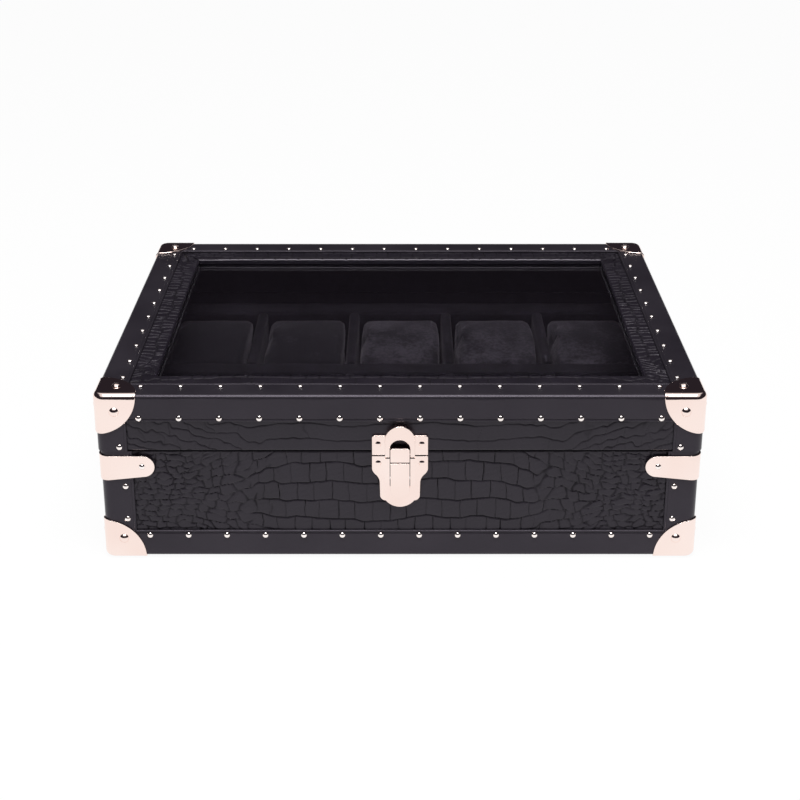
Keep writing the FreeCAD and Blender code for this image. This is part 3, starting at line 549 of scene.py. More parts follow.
print("rows on the base's front:", np.ptp(np.floor(counts(0 * up, up, BASE_SKIN)[0])) + 1)

# %% [markdown]
# ## The embossed panels
# On the real box one strip of hide is glued round the base and one round the lid. Here each face is a
# panel: a fine grid whose outer side carries the relief, closed at the back. The free edge is turned over
# the rim.

# %% Panels round the base and the lid
SIDES = {
    "front": ((1, 0, 0), (0, -1, 0)),
    "back": ((-1, 0, 0), (0, 1, 0)),
    "left": ((0, -1, 0), (-1, 0, 0)),
    "right": ((0, 1, 0), (1, 0, 0)),
}


def on_side(side, along, out, up):
    """Points from distances along a side, out from the middle, and up."""
    a, o = (np.array(v, float) for v in SIDES[side])
    along, out, up = np.broadcast_arrays(along, out, up)
    return along[..., None] * a + out[..., None] * o + up[..., None] * np.array([0.0, 0.0, 1.0])


PITCH = 0.5
ROLL, ROLL_DEPTH, SLAB = 1.5, 0.95, 1.0


def embossed_panel(side, half_along, out, low, high, free_low, skin):
    """Closed slab whose outer side is the relief; the free edge rolls inwards."""
    s = np.linspace(-half_along, half_along, int(2 * half_along / PITCH))
    z = np.linspace(low, high, int((high - low) / (0.76 * PITCH)))
    u, v = np.meshgrid(s, z, indexing="ij")
    height, groove = embossed(u, v, skin)
    free = (v - low) if free_low else (high - v)
    roll = np.clip(1 - free / ROLL, 0, 1)
    face = out + height * (1 - roll) - ROLL_DEPTH * (1 - np.sqrt(1 - np.minimum(roll, 0.999) ** 2))
    back = np.full((len(s), 2), out - SLAB)
    heights = np.concatenate([v, np.broadcast_to([high, low], back.shape)], axis=1)
    depth = np.concatenate([face, back], axis=1)
    marks = np.concatenate([groove, np.zeros(back.shape)], axis=1)
    return closed_skin(on_side(side, s[:, None], depth, heights)), marks


def dress_panels(body, low, high, free_low, skins, post, node):
    """Four panels on one body, which together take the place of the CAD hide."""
    half_w, half_d = HALVES[body]
    for side in SIDES:
        long = side in ("front", "back")
        skin = skins[0] if long else skins[1]
        half, out = (half_w, half_d) if long else (half_d, half_w)
        skin = dict(skin, seed=skin["seed"] + (side in ("back", "right")))
        made, marks = embossed_panel(side, half - post, out - LEATHER, low, high, free_low, skin)
        add_piece(body + "_panel_" + side, made, body, CROC, (), 50, marks)
    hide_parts(node)


LID_POST, BASE_POST = 15.2, 16.5
UNDER_BINDING = 2
dress_panels("base", BASE_STRIP_TOP - UNDER_BINDING, BASE_TOP, False,
             (BASE_SKIN, SIDE_SKIN), BASE_POST, "base_hide")
dress_panels("lid", LID_BOTTOM, LID_STRIP_LOW + UNDER_BINDING, True,
             (LID_SKIN, LID_SIDE_SKIN), LID_POST, "lid_hide")

# %% [markdown]
# ## The embossed frame round the window
# The top of the lid is covered with the same hide, which rolls over the rim of the window down to the
# glass. Its section is a flat, a quarter round and a short drop. Carried round the rectangle with mitred
# corners, it needs only one number per point of the section: how far that point lies inside the outer edge.
# The rim is rubbed smooth, which a negative groove value tells the shader: the rim is glossier, and its
# colour is painted lighter, a painted highlight.

# %% Hide round the window
BAND_START = 15.5
RIM, BACKING = 1.6, 0.9


def band_section():
    """Inset from the lid's edge and height, along the flat, round the rim and down, with its normal."""
    inset = LID_W - WINDOW_W
    top = LID_TOP - LEATHER
    flat = np.arange(BAND_START, inset - RIM, PITCH)
    turn = np.linspace(0, np.pi / 2, 9)
    drop = np.linspace(top - RIM, GLASS_TOP + 0.05, 4)[1:]
    a = np.concatenate([flat, inset - RIM + RIM * np.sin(turn), np.full(3, inset)])
    z = np.concatenate([np.full(len(flat), top), top - RIM + RIM * np.cos(turn), drop])
    lean = np.concatenate([np.zeros(len(flat)), turn, np.full(3, np.pi / 2)])
    return a, z, lean


def window_band(side, half_along, half_out, skin):
    """One mitred side: u along, section across; the relief moves points along the section's normal."""
    a, z, lean = band_section()
    t = np.linspace(-1, 1, int(2 * half_along / PITCH))
    run = np.concatenate([[0], np.cumsum(np.hypot(np.diff(a), np.diff(z)))])
    u = t[:, None] * (half_along - a)
    height, groove = embossed(u, np.broadcast_to(run, u.shape).copy(), skin)
    calm = np.clip(1 - lean / 1.2, 0, 1)
    # A negative mark on the rim: lower roughness there, and a lighter colour that is a painted highlight.
    height, groove = height * calm, groove * calm - 0.5 * (1 - calm)
    out = half_out - a - height * np.sin(lean)
    up = z + height * np.cos(lean)
    under_a = np.array([a[-1] - BACKING, BAND_START])
    under_z = np.array([GLASS_TOP + 0.05, LID_TOP - LEATHER - BACKING])
    back_u = t[:, None] * (half_along - under_a)
    out = np.concatenate([out, np.broadcast_to(half_out - under_a, back_u.shape)], axis=1)
    up = np.concatenate([up, np.broadcast_to(under_z, back_u.shape)], axis=1)
    marks = np.concatenate([groove, np.zeros(back_u.shape)], axis=1)
    return closed_skin(on_side(side, np.concatenate([u, back_u], axis=1), out, up)), marks


TOP_LONG = {"large": (8.4, 9.0), "small": (6.0, 6.0), "end": 150, "fade": 60, "axis": 2.2,
            "upright": (1.0, 0.8), "fine": 0.55, "depth": 0.5, "loose": -0.6, "seed": 21}
TOP_SHORT = {"large": (4.9, 11.0), "small": (4.6, 10.0), "end": 120, "fade": 60, "axis": -36.0,
             "upright": (1.6, 1.4), "fine": 1.0, "depth": 1.0, "wander": 1.3, "loose": 3.0, "stretch": 1.7,
             "seed": 25}
for i, side in enumerate(SIDES):
    half_along, half_out, skin = (LID_W, LID_D, TOP_LONG) if i < 2 else (LID_D, LID_W, TOP_SHORT)
    made, marks = window_band(side, half_along, half_out, dict(skin, seed=skin["seed"] + i))
    add_piece("window_band_" + side, made, "lid", CROC, (), 50, marks)
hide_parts("lid_top_hide")

# %% [markdown]
# ## Smooth bindings
# Every edge is bound with a strip of calf folded over it: an angle in section, rounded outside, with a
# creased line pressed along both margins and its cut edges burnished round. One section serves the long
# edges and the upright corners. The leather sinks a little under every nail, which a smooth hollow in the
# height gives.

# %% The folded section
CREASE_IN, CREASE_DEEP, CREASE_WIDE = 1.5, 0.3, 0.28
BURNISHED = 0.5
SINK, SINK_WIDE = 0.22, 2.9


def flat_run(start, stop):
    """Places along one leg from the round to the margin, closer together at the crease."""
    body = np.linspace(start, stop - 3.2, max(4, int((stop - start) / 1.3)))
    crease = stop - CREASE_IN + np.array([-0.8, -0.45, -0.2, 0.0, 0.2, 0.45, 0.8])
    return np.concatenate([body, crease])


def folded_section(leg_a, leg_b, bend):
    """Closed angle section as (inset from face A, inset from face B); leg_b lies along face A."""
    def leg(length):
        run = flat_run(bend, length)
        dent = CREASE_DEEP * np.exp(-(((run - (length - CREASE_IN)) / CREASE_WIDE) ** 2))
        turn = np.linspace(0, np.pi / 2, 5)[1:]
        edge_run = length - BURNISHED + BURNISHED * np.sin(turn)
        edge_dent = BURNISHED * (1 - np.cos(turn))
        run = np.concatenate([run, edge_run, [length]])
        return run, np.concatenate([dent, edge_dent, [LEATHER]])

    run_b, dent_b = leg(leg_b)
    run_a, dent_a = leg(leg_a)
    turn = np.linspace(0, np.pi / 2, 11)[1:-1]
    inner = np.linspace(np.pi / 2, 0, 5)
    a = np.concatenate([dent_b[::-1], bend - bend * np.cos(turn), run_a,
                        bend - (bend - LEATHER) * np.cos(inner)])
    b = np.concatenate([run_b[::-1], bend - bend * np.sin(turn), dent_a,
                        bend - (bend - LEATHER) * np.sin(inner)])
    return a, b


def hollows(along, across, nails, line):
    """How far the leather sinks round nails spaced along a line."""
    gap = np.abs(along[..., None] - nails).min(axis=-1)
    return SINK * np.exp(-(gap**2 + (across - line) ** 2) / SINK_WIDE**2)


def nail_places(count, half):
    """Even places from -half to half."""
    return np.linspace(-half, half, count)


print("section has", len(folded_section(17, 16, FOLD)[0]), "points")

# %% [markdown]
# The strips run along the eight long edges and stop under the corner caps, with their flat legs mitred. A
# slow unevenness of a few hundredths of a millimetre keeps the highlight along the fold from looking
# machined.

# %% Edge bindings
LID_FLAT, LID_FACE = 17.0, LID_TOP - LID_STRIP_LOW
BASE_FLAT, BASE_FACE = 17.5, BASE_STRIP_TOP - BASE_BOTTOM
FRONT_NAILS, SIDE_NAILS = 14, 10
LID_ROW, BASE_ROW = 24.5, 26.0
LID_FLAT_LINE, LID_FACE_LINE = 12.5, 14.0
BASE_FACE_LINE = 14.8 - BASE_BOTTOM


def edge_binding(side, half_along, half_out, z_edge, down, legs, nails, lines):
    """Folded strip along one edge; down is -1 where the flat leg is on top and +1 where it is below."""
    a, b = folded_section(*legs, FOLD)
    t = np.linspace(-1, 1, int(2 * half_along / 1.5))
    along = t[:, None] * (half_along - np.maximum(a, CORNER))
    slow = 0.035 * (np.sin(along / 17.0 + half_out) + np.sin(along / 7.3 + 1.7 + z_edge))
    outer_flat = (b < 0.6) & (a >= FOLD)
    outer_face = (a < 0.6) & (b >= FOLD)
    sink_b = outer_flat * ((hollows(along, a, nails, lines[0]) if lines[0] else 0.0) + slow)
    sink_a = outer_face * (hollows(along, b, nails, lines[1]) + slow)
    out = half_out - (a + sink_a)
    up = z_edge + down * (b + sink_b)
    return closed_skin(on_side(side, along, out, up))


for body, z_edge, down, legs, row, lines in (
        ("lid", LID_TOP, -1, (LID_FLAT, LID_FACE), LID_ROW, (LID_FLAT_LINE, LID_FACE_LINE)),
        ("base", BASE_BOTTOM, 1, (BASE_FLAT, BASE_FACE), BASE_ROW, (None, BASE_FACE_LINE))):
    strips = []
    for side in SIDES:
        long = side in ("front", "back")
        half_along, half_out = HALVES[body] if long else HALVES[body][::-1]
        nails = nail_places(FRONT_NAILS if long else SIDE_NAILS, half_along - row)
        strips.append(edge_binding(side, half_along, half_out, z_edge, down, legs, nails, lines))
    add_piece(body + "_binding", joined(strips), body, CALF, (body + "_edge_bindings",), 50)

# %% [markdown]
# The upright corners use the same folded section, standing on end between the edge strips and the rim.

# %% Corner bindings
CORNERS = ((-1, -1), (1, -1), (-1, 1), (1, 1))


def corner_binding(corner, half_w, half_d, low, high, leg):
    """Folded section as a plan, carried straight up one corner."""
    a, b = folded_section(leg, leg, CORNER)
    z = np.linspace(low, high, int((high - low) / 2.5) + 2)[:, None]
    x = corner[0] * (half_w - a) + 0 * z
    y = corner[1] * (half_d - b) + 0 * z
    return closed_skin(np.stack([x, y, z + 0 * x], axis=-1))


LID_LEG, BASE_LEG = 17.2, 18.5
for body, low, high, leg in (("lid", LID_BOTTOM, LID_STRIP_LOW, LID_LEG),
                             ("base", BASE_STRIP_TOP, BASE_TOP, BASE_LEG)):
    name = body + "_corner_binding"
    posts = [corner_binding(c, *HALVES[body], low, high, leg) for c in CORNERS]
    add_piece(name, joined(posts), body, CALF, (name + "s",), 50)

# %% [markdown]
# ## Corner caps
# A cap is pressed from one piece of sheet over a corner, and on each of its three faces it ends in a
# quarter circle. Walk round the corner point and the three faces make three quarters of a turn. So polar
# coordinates do: a distance from the corner, and an angle whose three quarters lie on the three faces. Two
# roundings follow. In plan, the upright edge becomes an arc. Then the distance inside that outline and the
# height make a second square corner, which is rounded more tightly for the fold.

# %% Pressed caps
CAP_REACH = 23.5
FLOOR_SHEET = 0.02
LID_CAP_EDGE, CUT_EDGE, STRAP_EDGE = 0.5, 0.08, 0.07


def from_outline(plan):
    """Way out of and distance from an outline with a rounded corner at the origin; inside is negative."""
    centred = plan + CORNER
    far = np.maximum(np.linalg.norm(centred, axis=-1), 1e-9)
    in_arc = centred.min(axis=-1) > 0
    nearer = (plan[..., 0] >= plan[..., 1]).astype(float)
    straight = np.stack([nearer, 1 - nearer], axis=-1)
    way = np.where(in_arc[..., None], centred / far[..., None], straight)
    return way, np.where(in_arc, far - CORNER, plan.max(axis=-1))


def pressed(sharp, lift):
    """Round a point of the sharp corner at the origin over arc and fold, then lift it along the normal."""
    way, gap = from_outline(sharp[..., :2])
    pair = np.stack([np.minimum(gap, 0), sharp[..., 2]], axis=-1)
    core = np.minimum(pair, -FOLD)
    step = pair - core
    pair = core + step / np.linalg.norm(step, axis=-1, keepdims=True) * (FOLD + lift[..., None])
    plan = sharp[..., :2] + way * (pair[..., :1] - gap[..., None])
    return np.concatenate([plan, pair[..., 1:]], axis=-1)


def sheet_rim(reach, thick, edge):
    """Distance from the corner and lift: over the top, a slight bead, round the rim, and back underneath."""
    out = np.concatenate([[0.02], np.linspace(0.6, reach - 2.6, 24),
                          np.linspace(reach - 2.2, reach - edge, 7)])
    bead = 0.1 * np.exp(-(((out - reach + 1.0) / 0.55) ** 2))
    turn = np.linspace(0, np.pi / 2, 6)[1:]
    rho = np.concatenate([out, reach - edge + edge * np.sin(turn), [reach], [0.6 * reach, 0.02]])
    lift = np.concatenate([thick + bead, thick + bead[-1] - edge * (1 - np.cos(turn)), [FLOOR_SHEET],
                           [FLOOR_SHEET, FLOOR_SHEET]])
    return rho, lift


def cap(corner, half_w, half_d, z_edge, up, edge):
    """Closed cap over the corner (sx, sy) with its flat face at z_edge; up is +1 on the lid, -1 below."""
    rho, lift = sheet_rim(CAP_REACH, SHEET, edge)
    share = np.linspace(0, 1, 33)[:-1]
    turn = np.pi / 2 * (share - 0.11 * np.sin(4 * np.pi * share) / np.pi)
    zero = np.zeros(len(turn))
    axes = -np.stack([np.concatenate([np.cos(turn), zero, np.sin(turn)]),
                      np.concatenate([np.sin(turn), np.cos(turn), zero]),
                      np.concatenate([zero, np.sin(turn), np.cos(turn)])], axis=-1)
    sharp = rho[:, None, None] * axes[None]
    point = pressed(sharp, np.broadcast_to(lift[:, None], sharp.shape[:2]))
    flip = np.array([corner[0], corner[1], up], float)
    return closed_skin(point * flip + np.array([corner[0] * half_w, corner[1] * half_d, z_edge]))


for body, z_edge, up, edge in (("lid", LID_TOP, 1, LID_CAP_EDGE), ("base", BASE_BOTTOM, -1, CUT_EDGE)):
    caps = [cap(c, *HALVES[body], z_edge, up, edge) for c in CORNERS]
    add_piece(body + "_caps", joined(caps), body, GOLD, (body + "_corner_caps",), 60)

# %% [markdown]
# ## Corner straps
# A strap wraps each upright corner of the base just under the seam: a tongue on both faces with a round
# end, wider at the corner than at the tips. Along the wrap the half height follows the tongue and, near the
# tip, a half circle. Across it, the lift falls off just at the rim, so the cut edge is nearly square.

# %% Wrapped straps
STRAP_LOW, STRAP_TOP = span("corner_straps")[0][2], span("corner_straps")[1][2]
STRAP_TIP_LOW, STRAP_TIP_TOP, STRAP_REACH = STRAP_LOW + 2.6, STRAP_TOP - 0.2, 30.9


def strap(corner):
    """Closed strap; w is the distance from the corner along the faces, negative on one of them."""
    tip = (STRAP_TIP_TOP - STRAP_TIP_LOW) / 2
    neck = STRAP_REACH - tip
    bend = np.sin(np.linspace(0, np.pi / 2, 14))
    half = np.concatenate([np.linspace(0, 6, 13), np.linspace(6, neck, 10)[1:],
                           neck + tip * 0.998 * bend[1:]])
    w = np.concatenate([-half[:0:-1], half])
    share = np.clip(np.abs(w) / neck, 0, 1)
    top = STRAP_TOP + (STRAP_TIP_TOP - STRAP_TOP) * share
    low = STRAP_LOW + (STRAP_TIP_LOW - STRAP_LOW) * share
    shrink = np.sqrt(np.clip(1 - (np.clip(np.abs(w) - neck, 0, tip) / tip) ** 2, 0, 1))
    mid, tall = (top + low) / 2, (top - low) / 2 * shrink
    edge = STRAP_EDGE
    turn = np.linspace(0, np.pi / 2, 5)
    climb, draw_in = SHEET - edge + edge * np.sin(turn), edge * (1 - np.cos(turn))
    side = np.concatenate([np.full(5, 1.0), np.linspace(1, -1, 9)[1:-1], np.full(5, -1.0), [-1, 1]])
    lift = np.concatenate([climb, np.full(7, SHEET), climb[::-1], [FLOOR_SHEET, FLOOR_SHEET]])
    inset = np.concatenate([draw_in, np.full(7, edge), draw_in[::-1], [0, 0]])
    reach = np.maximum(tall[:, None] - inset, 0.0)
    z = mid[:, None] + np.sign(side) * np.where(np.abs(side) == 1, reach, reach * np.abs(side))
    sharp = np.stack([np.minimum(w, 0), np.minimum(-w, 0), np.full(len(w), -50.0)], axis=-1)
    sharp = np.broadcast_to(sharp[:, None], (len(w), len(side), 3)).copy()
    fade = np.minimum(1, np.maximum(tall[:, None], 0.01) / edge)
    lifted = np.where(lift > FLOOR_SHEET, FLOOR_SHEET + (lift - FLOOR_SHEET) * fade, FLOOR_SHEET)
    point = pressed(sharp, np.broadcast_to(lifted, sharp.shape[:2]))
    plan = point[..., :2] * np.array(corner, float) + np.array([corner[0] * BASE_W, corner[1] * BASE_D])
    return closed_skin(np.concatenate([plan, z[..., None]], axis=-1))


add_piece("straps", joined([strap(c) for c in CORNERS]), "base", GOLD, ("corner_straps",), 60)

# %% [markdown]
# ## Nails
# Some 180 small domed nails hold the leather, the straps and the latch, and larger ones the caps. A head is
# a profile turned about its axis: a short upright edge, then a dome that is part of a ball, shallow on
# small nails and fuller on the caps. All heads of one body are one array: the profile times the places.

# %% Domed heads
NAIL_SUNK, NAIL_EDGE = 0.05, 0.25


def heads(places, normals, radius, height, slope, around=10, levels=(1.0, 0.78, 0.52, 0.2)):
    """Closed domes: part of a ball whose rim slopes by that many degrees, on a short upright edge."""
    places, normals = np.asarray(places, float), np.asarray(normals, float)
    t, rim = np.array(levels) * np.radians(slope), np.radians(slope)
    r = np.concatenate([[radius], radius * np.sin(t) / np.sin(rim)])
    rise = (np.cos(t) - np.cos(rim)) / (1 - np.cos(rim))
    h = np.concatenate([[-NAIL_SUNK], NAIL_EDGE + (height - NAIL_EDGE) * rise])
    angle = np.arange(around) * 2 * np.pi / around
    helper = np.where(np.abs(normals[:, 2:]) > 0.5, [[1.0, 0, 0]], [[0.0, 0, 1.0]])
    first = np.cross(helper, normals)
    second = np.cross(normals, first)
    ring = first[:, None] * np.cos(angle)[None, :, None] + second[:, None] * np.sin(angle)[None, :, None]
    points = (places[:, None, None] + ring[:, None] * r[None, :, None, None]
              + normals[:, None, None] * h[None, :, None, None])
    count, rows = len(places), len(r)
    start = (np.arange(count) * rows * around)[:, None, None]
    quads = (ring_quads(rows, around)[None] + start).reshape(-1, 4)
    low = (np.arange(around)[None, ::-1] + start[:, 0]).reshape(-1, around)
    high = (np.arange(around)[None] + (rows - 1) * around + start[:, 0]).reshape(-1, around)
    return turned_out(points.reshape(-1, 3), [quads, low, high])


def row_of(side, half_along, half_out, count, end, z):
    """Places and normals of one row of nails on an upright face."""
    along = nail_places(count, half_along - end)
    places = on_side(side, along, np.full(count, half_out), np.full(count, z))
    return places, np.tile(np.array(SIDES[side][1], float), (count, 1))


def rows_round(half_w, half_d, end, z):
    """Rows on all four upright faces of the lid or the base."""
    rows = [row_of(s, half_w, half_d, FRONT_NAILS, end, z) for s in ("front", "back")]
    rows += [row_of(s, half_d, half_w, SIDE_NAILS, end, z) for s in ("left", "right")]
    return rows


def corner_pairs(half_w, half_d, inset, z):
    """One nail on each of the two upright faces at every corner."""
    c = np.array(CORNERS, float)
    zero = np.zeros(4)
    front = np.stack([c[:, 0] * (half_w - inset), c[:, 1] * half_d, zero + z], axis=-1)
    side = np.stack([c[:, 0] * half_w, c[:, 1] * (half_d - inset), zero + z], axis=-1)
    return [(front, np.stack([zero, c[:, 1], zero], axis=-1)),
            (side, np.stack([c[:, 0], zero, zero], axis=-1))]


def add_heads(name, groups, size, body, node, finish, **shape):
    """All heads of several groups of places and normals as one piece."""
    places = np.concatenate([p for p, _ in groups])
    normals = np.concatenate([n for _, n in groups])
    made = heads(places, normals, *size, **shape)
    return add_piece(name, made, body, finish, (node,), 60)


# %% Nails on the lid and the base
SMALL, FLAT, LARGE = (1.75, 1.0, 50), (1.75, 0.7, 33), (2.7, 1.6, 62)
CAP_NAIL, LID_CAP_DOWN, BASE_CAP_UP = 11.2, 9.7, 12.0
LID_POST_NAIL, LID_POST_UP = 12.8, 2.8
BASE_POST_NAIL, BASE_POST_UP = 13.8, (25.4, 46.1)
STRAP_NAIL = 23.8
RIVET_X, RIVET_UP, RIVET_DOWN = 12.3, 4.8, 6.6
LATCH_Y = -(LID_D - LEATHER) - 1.5
UP = np.array([[0.0, 0.0, 1.0]])


def rivets(z):
    """The two rivets of one latch plate."""
    return [(np.array([[-RIVET_X, LATCH_Y, z], [RIVET_X, LATCH_Y, z]]), np.array([[0.0, -1.0, 0.0]] * 2))]


lid_rows = rows_round(LID_W, LID_D, LID_ROW, LID_TOP - LID_FACE_LINE)
for sign in (-1, 1):
    x, y = nail_places(FRONT_NAILS, LID_W - LID_ROW), nail_places(SIDE_NAILS, LID_D - LID_ROW)
    across = np.stack([x, 0 * x + sign * (LID_D - LID_FLAT_LINE), 0 * x + LID_TOP], axis=-1)
    along = np.stack([0 * y + sign * (LID_W - LID_FLAT_LINE), y, 0 * y + LID_TOP], axis=-1)
    lid_rows += [(across, np.repeat(UP, len(x), 0)), (along, np.repeat(UP, len(y), 0))]
lid_rows += corner_pairs(LID_W, LID_D, LID_POST_NAIL, LID_BOTTOM + LID_POST_UP)
add_heads("lid_nail_heads", lid_rows, SMALL, "lid", "lid_nails", NAIL_GOLD)
add_heads("lid_latch_rivets", rivets(LID_BOTTOM + RIVET_UP), FLAT, "lid", "lid_nails", GOLD)
base_rows = rows_round(BASE_W, BASE_D, BASE_ROW, BASE_BOTTOM + BASE_FACE_LINE)
for z in BASE_POST_UP:
    base_rows += corner_pairs(BASE_W, BASE_D, BASE_POST_NAIL, z)
strap_middle = (STRAP_TIP_LOW + STRAP_TIP_TOP) / 2
base_rows += corner_pairs(BASE_W + SHEET, BASE_D + SHEET, STRAP_NAIL + SHEET, strap_middle)
add_heads("base_nail_heads", base_rows, SMALL, "base", "base_nails", NAIL_GOLD)
add_heads("base_latch_rivets", rivets(BASE_TOP - RIVET_DOWN), FLAT, "base", "base_nails", GOLD)

# %% Larger nails on the caps
fine = {"around": 24, "levels": (1.0, 0.86, 0.7, 0.54, 0.38, 0.22, 0.08)}
tops = np.array([[sx * (LID_W - CAP_NAIL), sy * (LID_D - CAP_NAIL), LID_TOP + SHEET] for sx, sy in CORNERS])
lid_caps = corner_pairs(LID_W + SHEET, LID_D + SHEET, CAP_NAIL + SHEET, LID_TOP - LID_CAP_DOWN)
lid_caps.append((tops, np.repeat(UP, 4, 0)))
add_heads("lid_cap_nail_heads", lid_caps, LARGE, "lid", "lid_cap_nails", GOLD, **fine)
base_caps = corner_pairs(BASE_W + SHEET, BASE_D + SHEET, CAP_NAIL + SHEET, BASE_BOTTOM + BASE_CAP_UP)
add_heads("base_cap_nail_heads", base_caps, LARGE, "base", "base_cap_nails", GOLD, **fine)

# %% [markdown]
# ## The latch
# The latch is die-cast and polished, so all its edges are slightly rounded and catch a line of light. Its
# shape is exact in the frame already. A copy of each plate is merged and its flat triangles dissolved, and
# a Bevel modifier rounds what is left of the edges. A groove across the lever is marked, so that its finish
# paints it dark: a painted shade.

# %% Polished latch plates
GROOVE_DEPTH = 0.7
PLATE_EDGE, LEVER_EDGE = 0.32, 0.14


def polished(node, name, body, width, grooved=False):
    """Merged copy of a CAD node with rounded edges; the floor of a groove in its front is marked."""
    mesh = merged(node, name, flatten=True)
    mesh.polygons.foreach_set("use_smooth", np.ones(len(mesh.polygons), bool))
    if grooved:
        depth = points_of(mesh)[:, 1] * 1000
        # The groove floor is marked so that the finish paints it dark: painted shade.
        floor = np.abs(depth - depth.min() - GROOVE_DEPTH) < 0.05
        mark_painted_light_and_shade(mesh, floor.astype(np.float32))
        print(name, floor.sum(), "points in the groove")
    made = link(name, mesh)
    bevel = made.modifiers.new("rounded edges", "BEVEL")
    bevel.width, bevel.segments, bevel.angle_limit = width / 1000, 3, np.radians(35)
    bevel.harden_normals = True
    return settle(made, body, GOLD, (node,))


polished("lid_latch_plate", "latch_upper_plate", "lid", PLATE_EDGE)
polished("base_latch_plate", "latch_lower_plate", "base", PLATE_EDGE)
polished("latch_lever", "latch_tongue", "latch", LEVER_EDGE, grooved=True)

# %% [markdown]
# ## Suede-covered dividers
# The tray is divided by boards covered in suede: two wide rails, a middle divider and thin ones between
# columns. Wrapped suede never lies quite flat, so each bar is a rounded section carried along with a slight
# unevenness.

# %% Rails and dividers
TRAY_LOW, TRAY_TOP = span("row_divider")[0][2], span("row_divider")[1][2]
BAR_ROLL = 2.5


def soft_bar(low, high, along, phase):
    """Rounded bar between two plan corners; its faces waver by a tenth of a millimetre."""
    roll = BAR_ROLL
    across = 1 - along
    half = (high[across] - low[across]) / 2
    middle = (high[across] + low[across]) / 2
    turn = np.linspace(0, np.pi / 2, 6)
    side = half - roll + roll * np.cos(turn)
    rise = TRAY_TOP - roll + roll * np.sin(turn)
    crown = np.linspace(half - roll, roll - half, 5)[1:-1]
    p = np.concatenate([[half, half], side, crown, -side[::-1], [-half, -half]])
    z = np.concatenate([[TRAY_LOW, TRAY_LOW + 30], rise, np.full(3, TRAY_TOP + 0.12), rise[::-1],
                        [TRAY_LOW + 30, TRAY_LOW]])
    s = np.linspace(low[along], high[along], int((high[along] - low[along]) / 3) + 2)[:, None]
    slack = 0.1 * (np.sin(s / 9.0 + phase) + np.sin(s / 4.1 + 2 * phase))
    drop = np.where(z > TRAY_TOP - roll, 0.6 * slack - 0.12, 0.0)
    wide = p * (1 + 0.4 * slack / half - 0.02) + middle
    tall = z + drop
    plan = [None, None]
    plan[along], plan[across] = s + 0 * wide, wide
    return closed_skin(np.stack([*plan, tall], axis=-1))


rails_low, rails_high = span("tray_rails")
row_low, row_high = span("row_divider")
bar_low, bar_high = span("column_dividers")
RAIL, THIN = 20.0, 7.0
x0, x1 = rails_low[0], rails_high[0]
rails = [soft_bar((x0, rails_low[1]), (x1, rails_low[1] + RAIL), 0, 1.0),
         soft_bar((x0, rails_high[1] - RAIL), (x1, rails_high[1]), 0, 2.0)]
add_piece("suede_rails", joined(rails), "base", LINING, ("tray_rails",), 50)
middle_bar = soft_bar((x0, row_low[1]), (x1, row_high[1]), 0, 3.0)
add_piece("suede_middle_divider", middle_bar, "base", LINING, ("row_divider",), 50)
bars = []
for i, x in enumerate(np.linspace(bar_low[0], bar_high[0] - THIN, 4)):
    bars.append(soft_bar((x, bar_low[1]), (x + THIN, row_low[1] + 0.5), 1, 4.0 + i))
    bars.append(soft_bar((x, row_high[1] - 0.5), (x + THIN, bar_high[1]), 1, 8.0 + i))
add_piece("suede_column_dividers", joined(bars), "base", LINING, ("column_dividers",), 50)

# %% [markdown]
# ## Cushions
# Each compartment holds a stuffed roll: crowned from front to back, flat where it stands, with end panels
# sewn in and drawn tight. Stuffing pushes cloth out until it is taut, which is what a cloth simulation
# with inner pressure does. One cushion is blown up that way, and all ten are copies of it with their own
# small dents, because they were cut from one pattern.

# %% Stuff one cushion
PATTERN = "cushion_front_1"
DRAWN_IN, CLOTH_PITCH, FARTHEST = 0.0014, 0.0026, 0.006
PRESSURE, STEPS = 4.0, 20


def pattern_mesh():
    """Merged copy of the frame's cushion, drawn in a little about its middle."""
    mesh = merged(PATTERN, "stuffing")
    points = points_of(mesh)
    middle = (points.min(0) + points.max(0)) / 2
    half = (points.max(0) - points.min(0)) / 2
    points = middle + (points - middle) * (half - DRAWN_IN) / half
    mesh.vertices.foreach_set("co", points.ravel())
    mesh.update()
    return mesh


def stuffed():
    """Points and faces of the stuffed cushion in millimetres, after remesh, cloth and one subdivision."""
    made = link("stuffing", pattern_mesh())
    bpy.context.view_layer.objects.active = made
    remesh = made.modifiers.new("even cloth", "REMESH")
    remesh.mode, remesh.voxel_size = "VOXEL", CLOTH_PITCH
    bpy.ops.object.modifier_apply(modifier=remesh.name)
    before = points_of(made.data)
    cloth = made.modifiers.new("stuffing", "CLOTH")
    cloth.settings.use_pressure = True
    cloth.settings.uniform_pressure_force = PRESSURE
    cloth.settings.effector_weights.gravity = 0.0
    for step in range(1, STEPS + 1):
        bpy.context.scene.frame_set(step)
    bpy.ops.object.modifier_apply(modifier=cloth.name)
    bpy.context.scene.frame_set(1)
    move = points_of(made.data) - before
    far = np.linalg.norm(move, axis=1, keepdims=True)
    move *= np.minimum(1, FARTHEST / np.maximum(far, 1e-9))
    made.data.vertices.foreach_set("co", (before + move).ravel())
    finer = made.modifiers.new("finer", "SUBSURF")
    finer.levels = finer.render_levels = 1
    bpy.ops.object.modifier_apply(modifier=finer.name)
    points = points_of(made.data) * 1000
    corners = np.empty(len(made.data.loops), np.int32)
    made.data.loops.foreach_get("vertex_index", corners)
    print("largest move of the cloth: %.1f mm" % (far.max() * 1000))
    bpy.data.objects.remove(made)
    return points, corners.reshape(-1, 4)


cushion_points, cushion_quads = stuffed()
print("cushion box", cushion_points.min(0).round(1), cushion_points.max(0).round(1))

# %% [markdown]
# The end panels are joined by a seam a few millimetres in from each end, which pulls the cloth in. Each
# copy is fitted to the room of its own compartment, and its foot is pressed flat on the board.

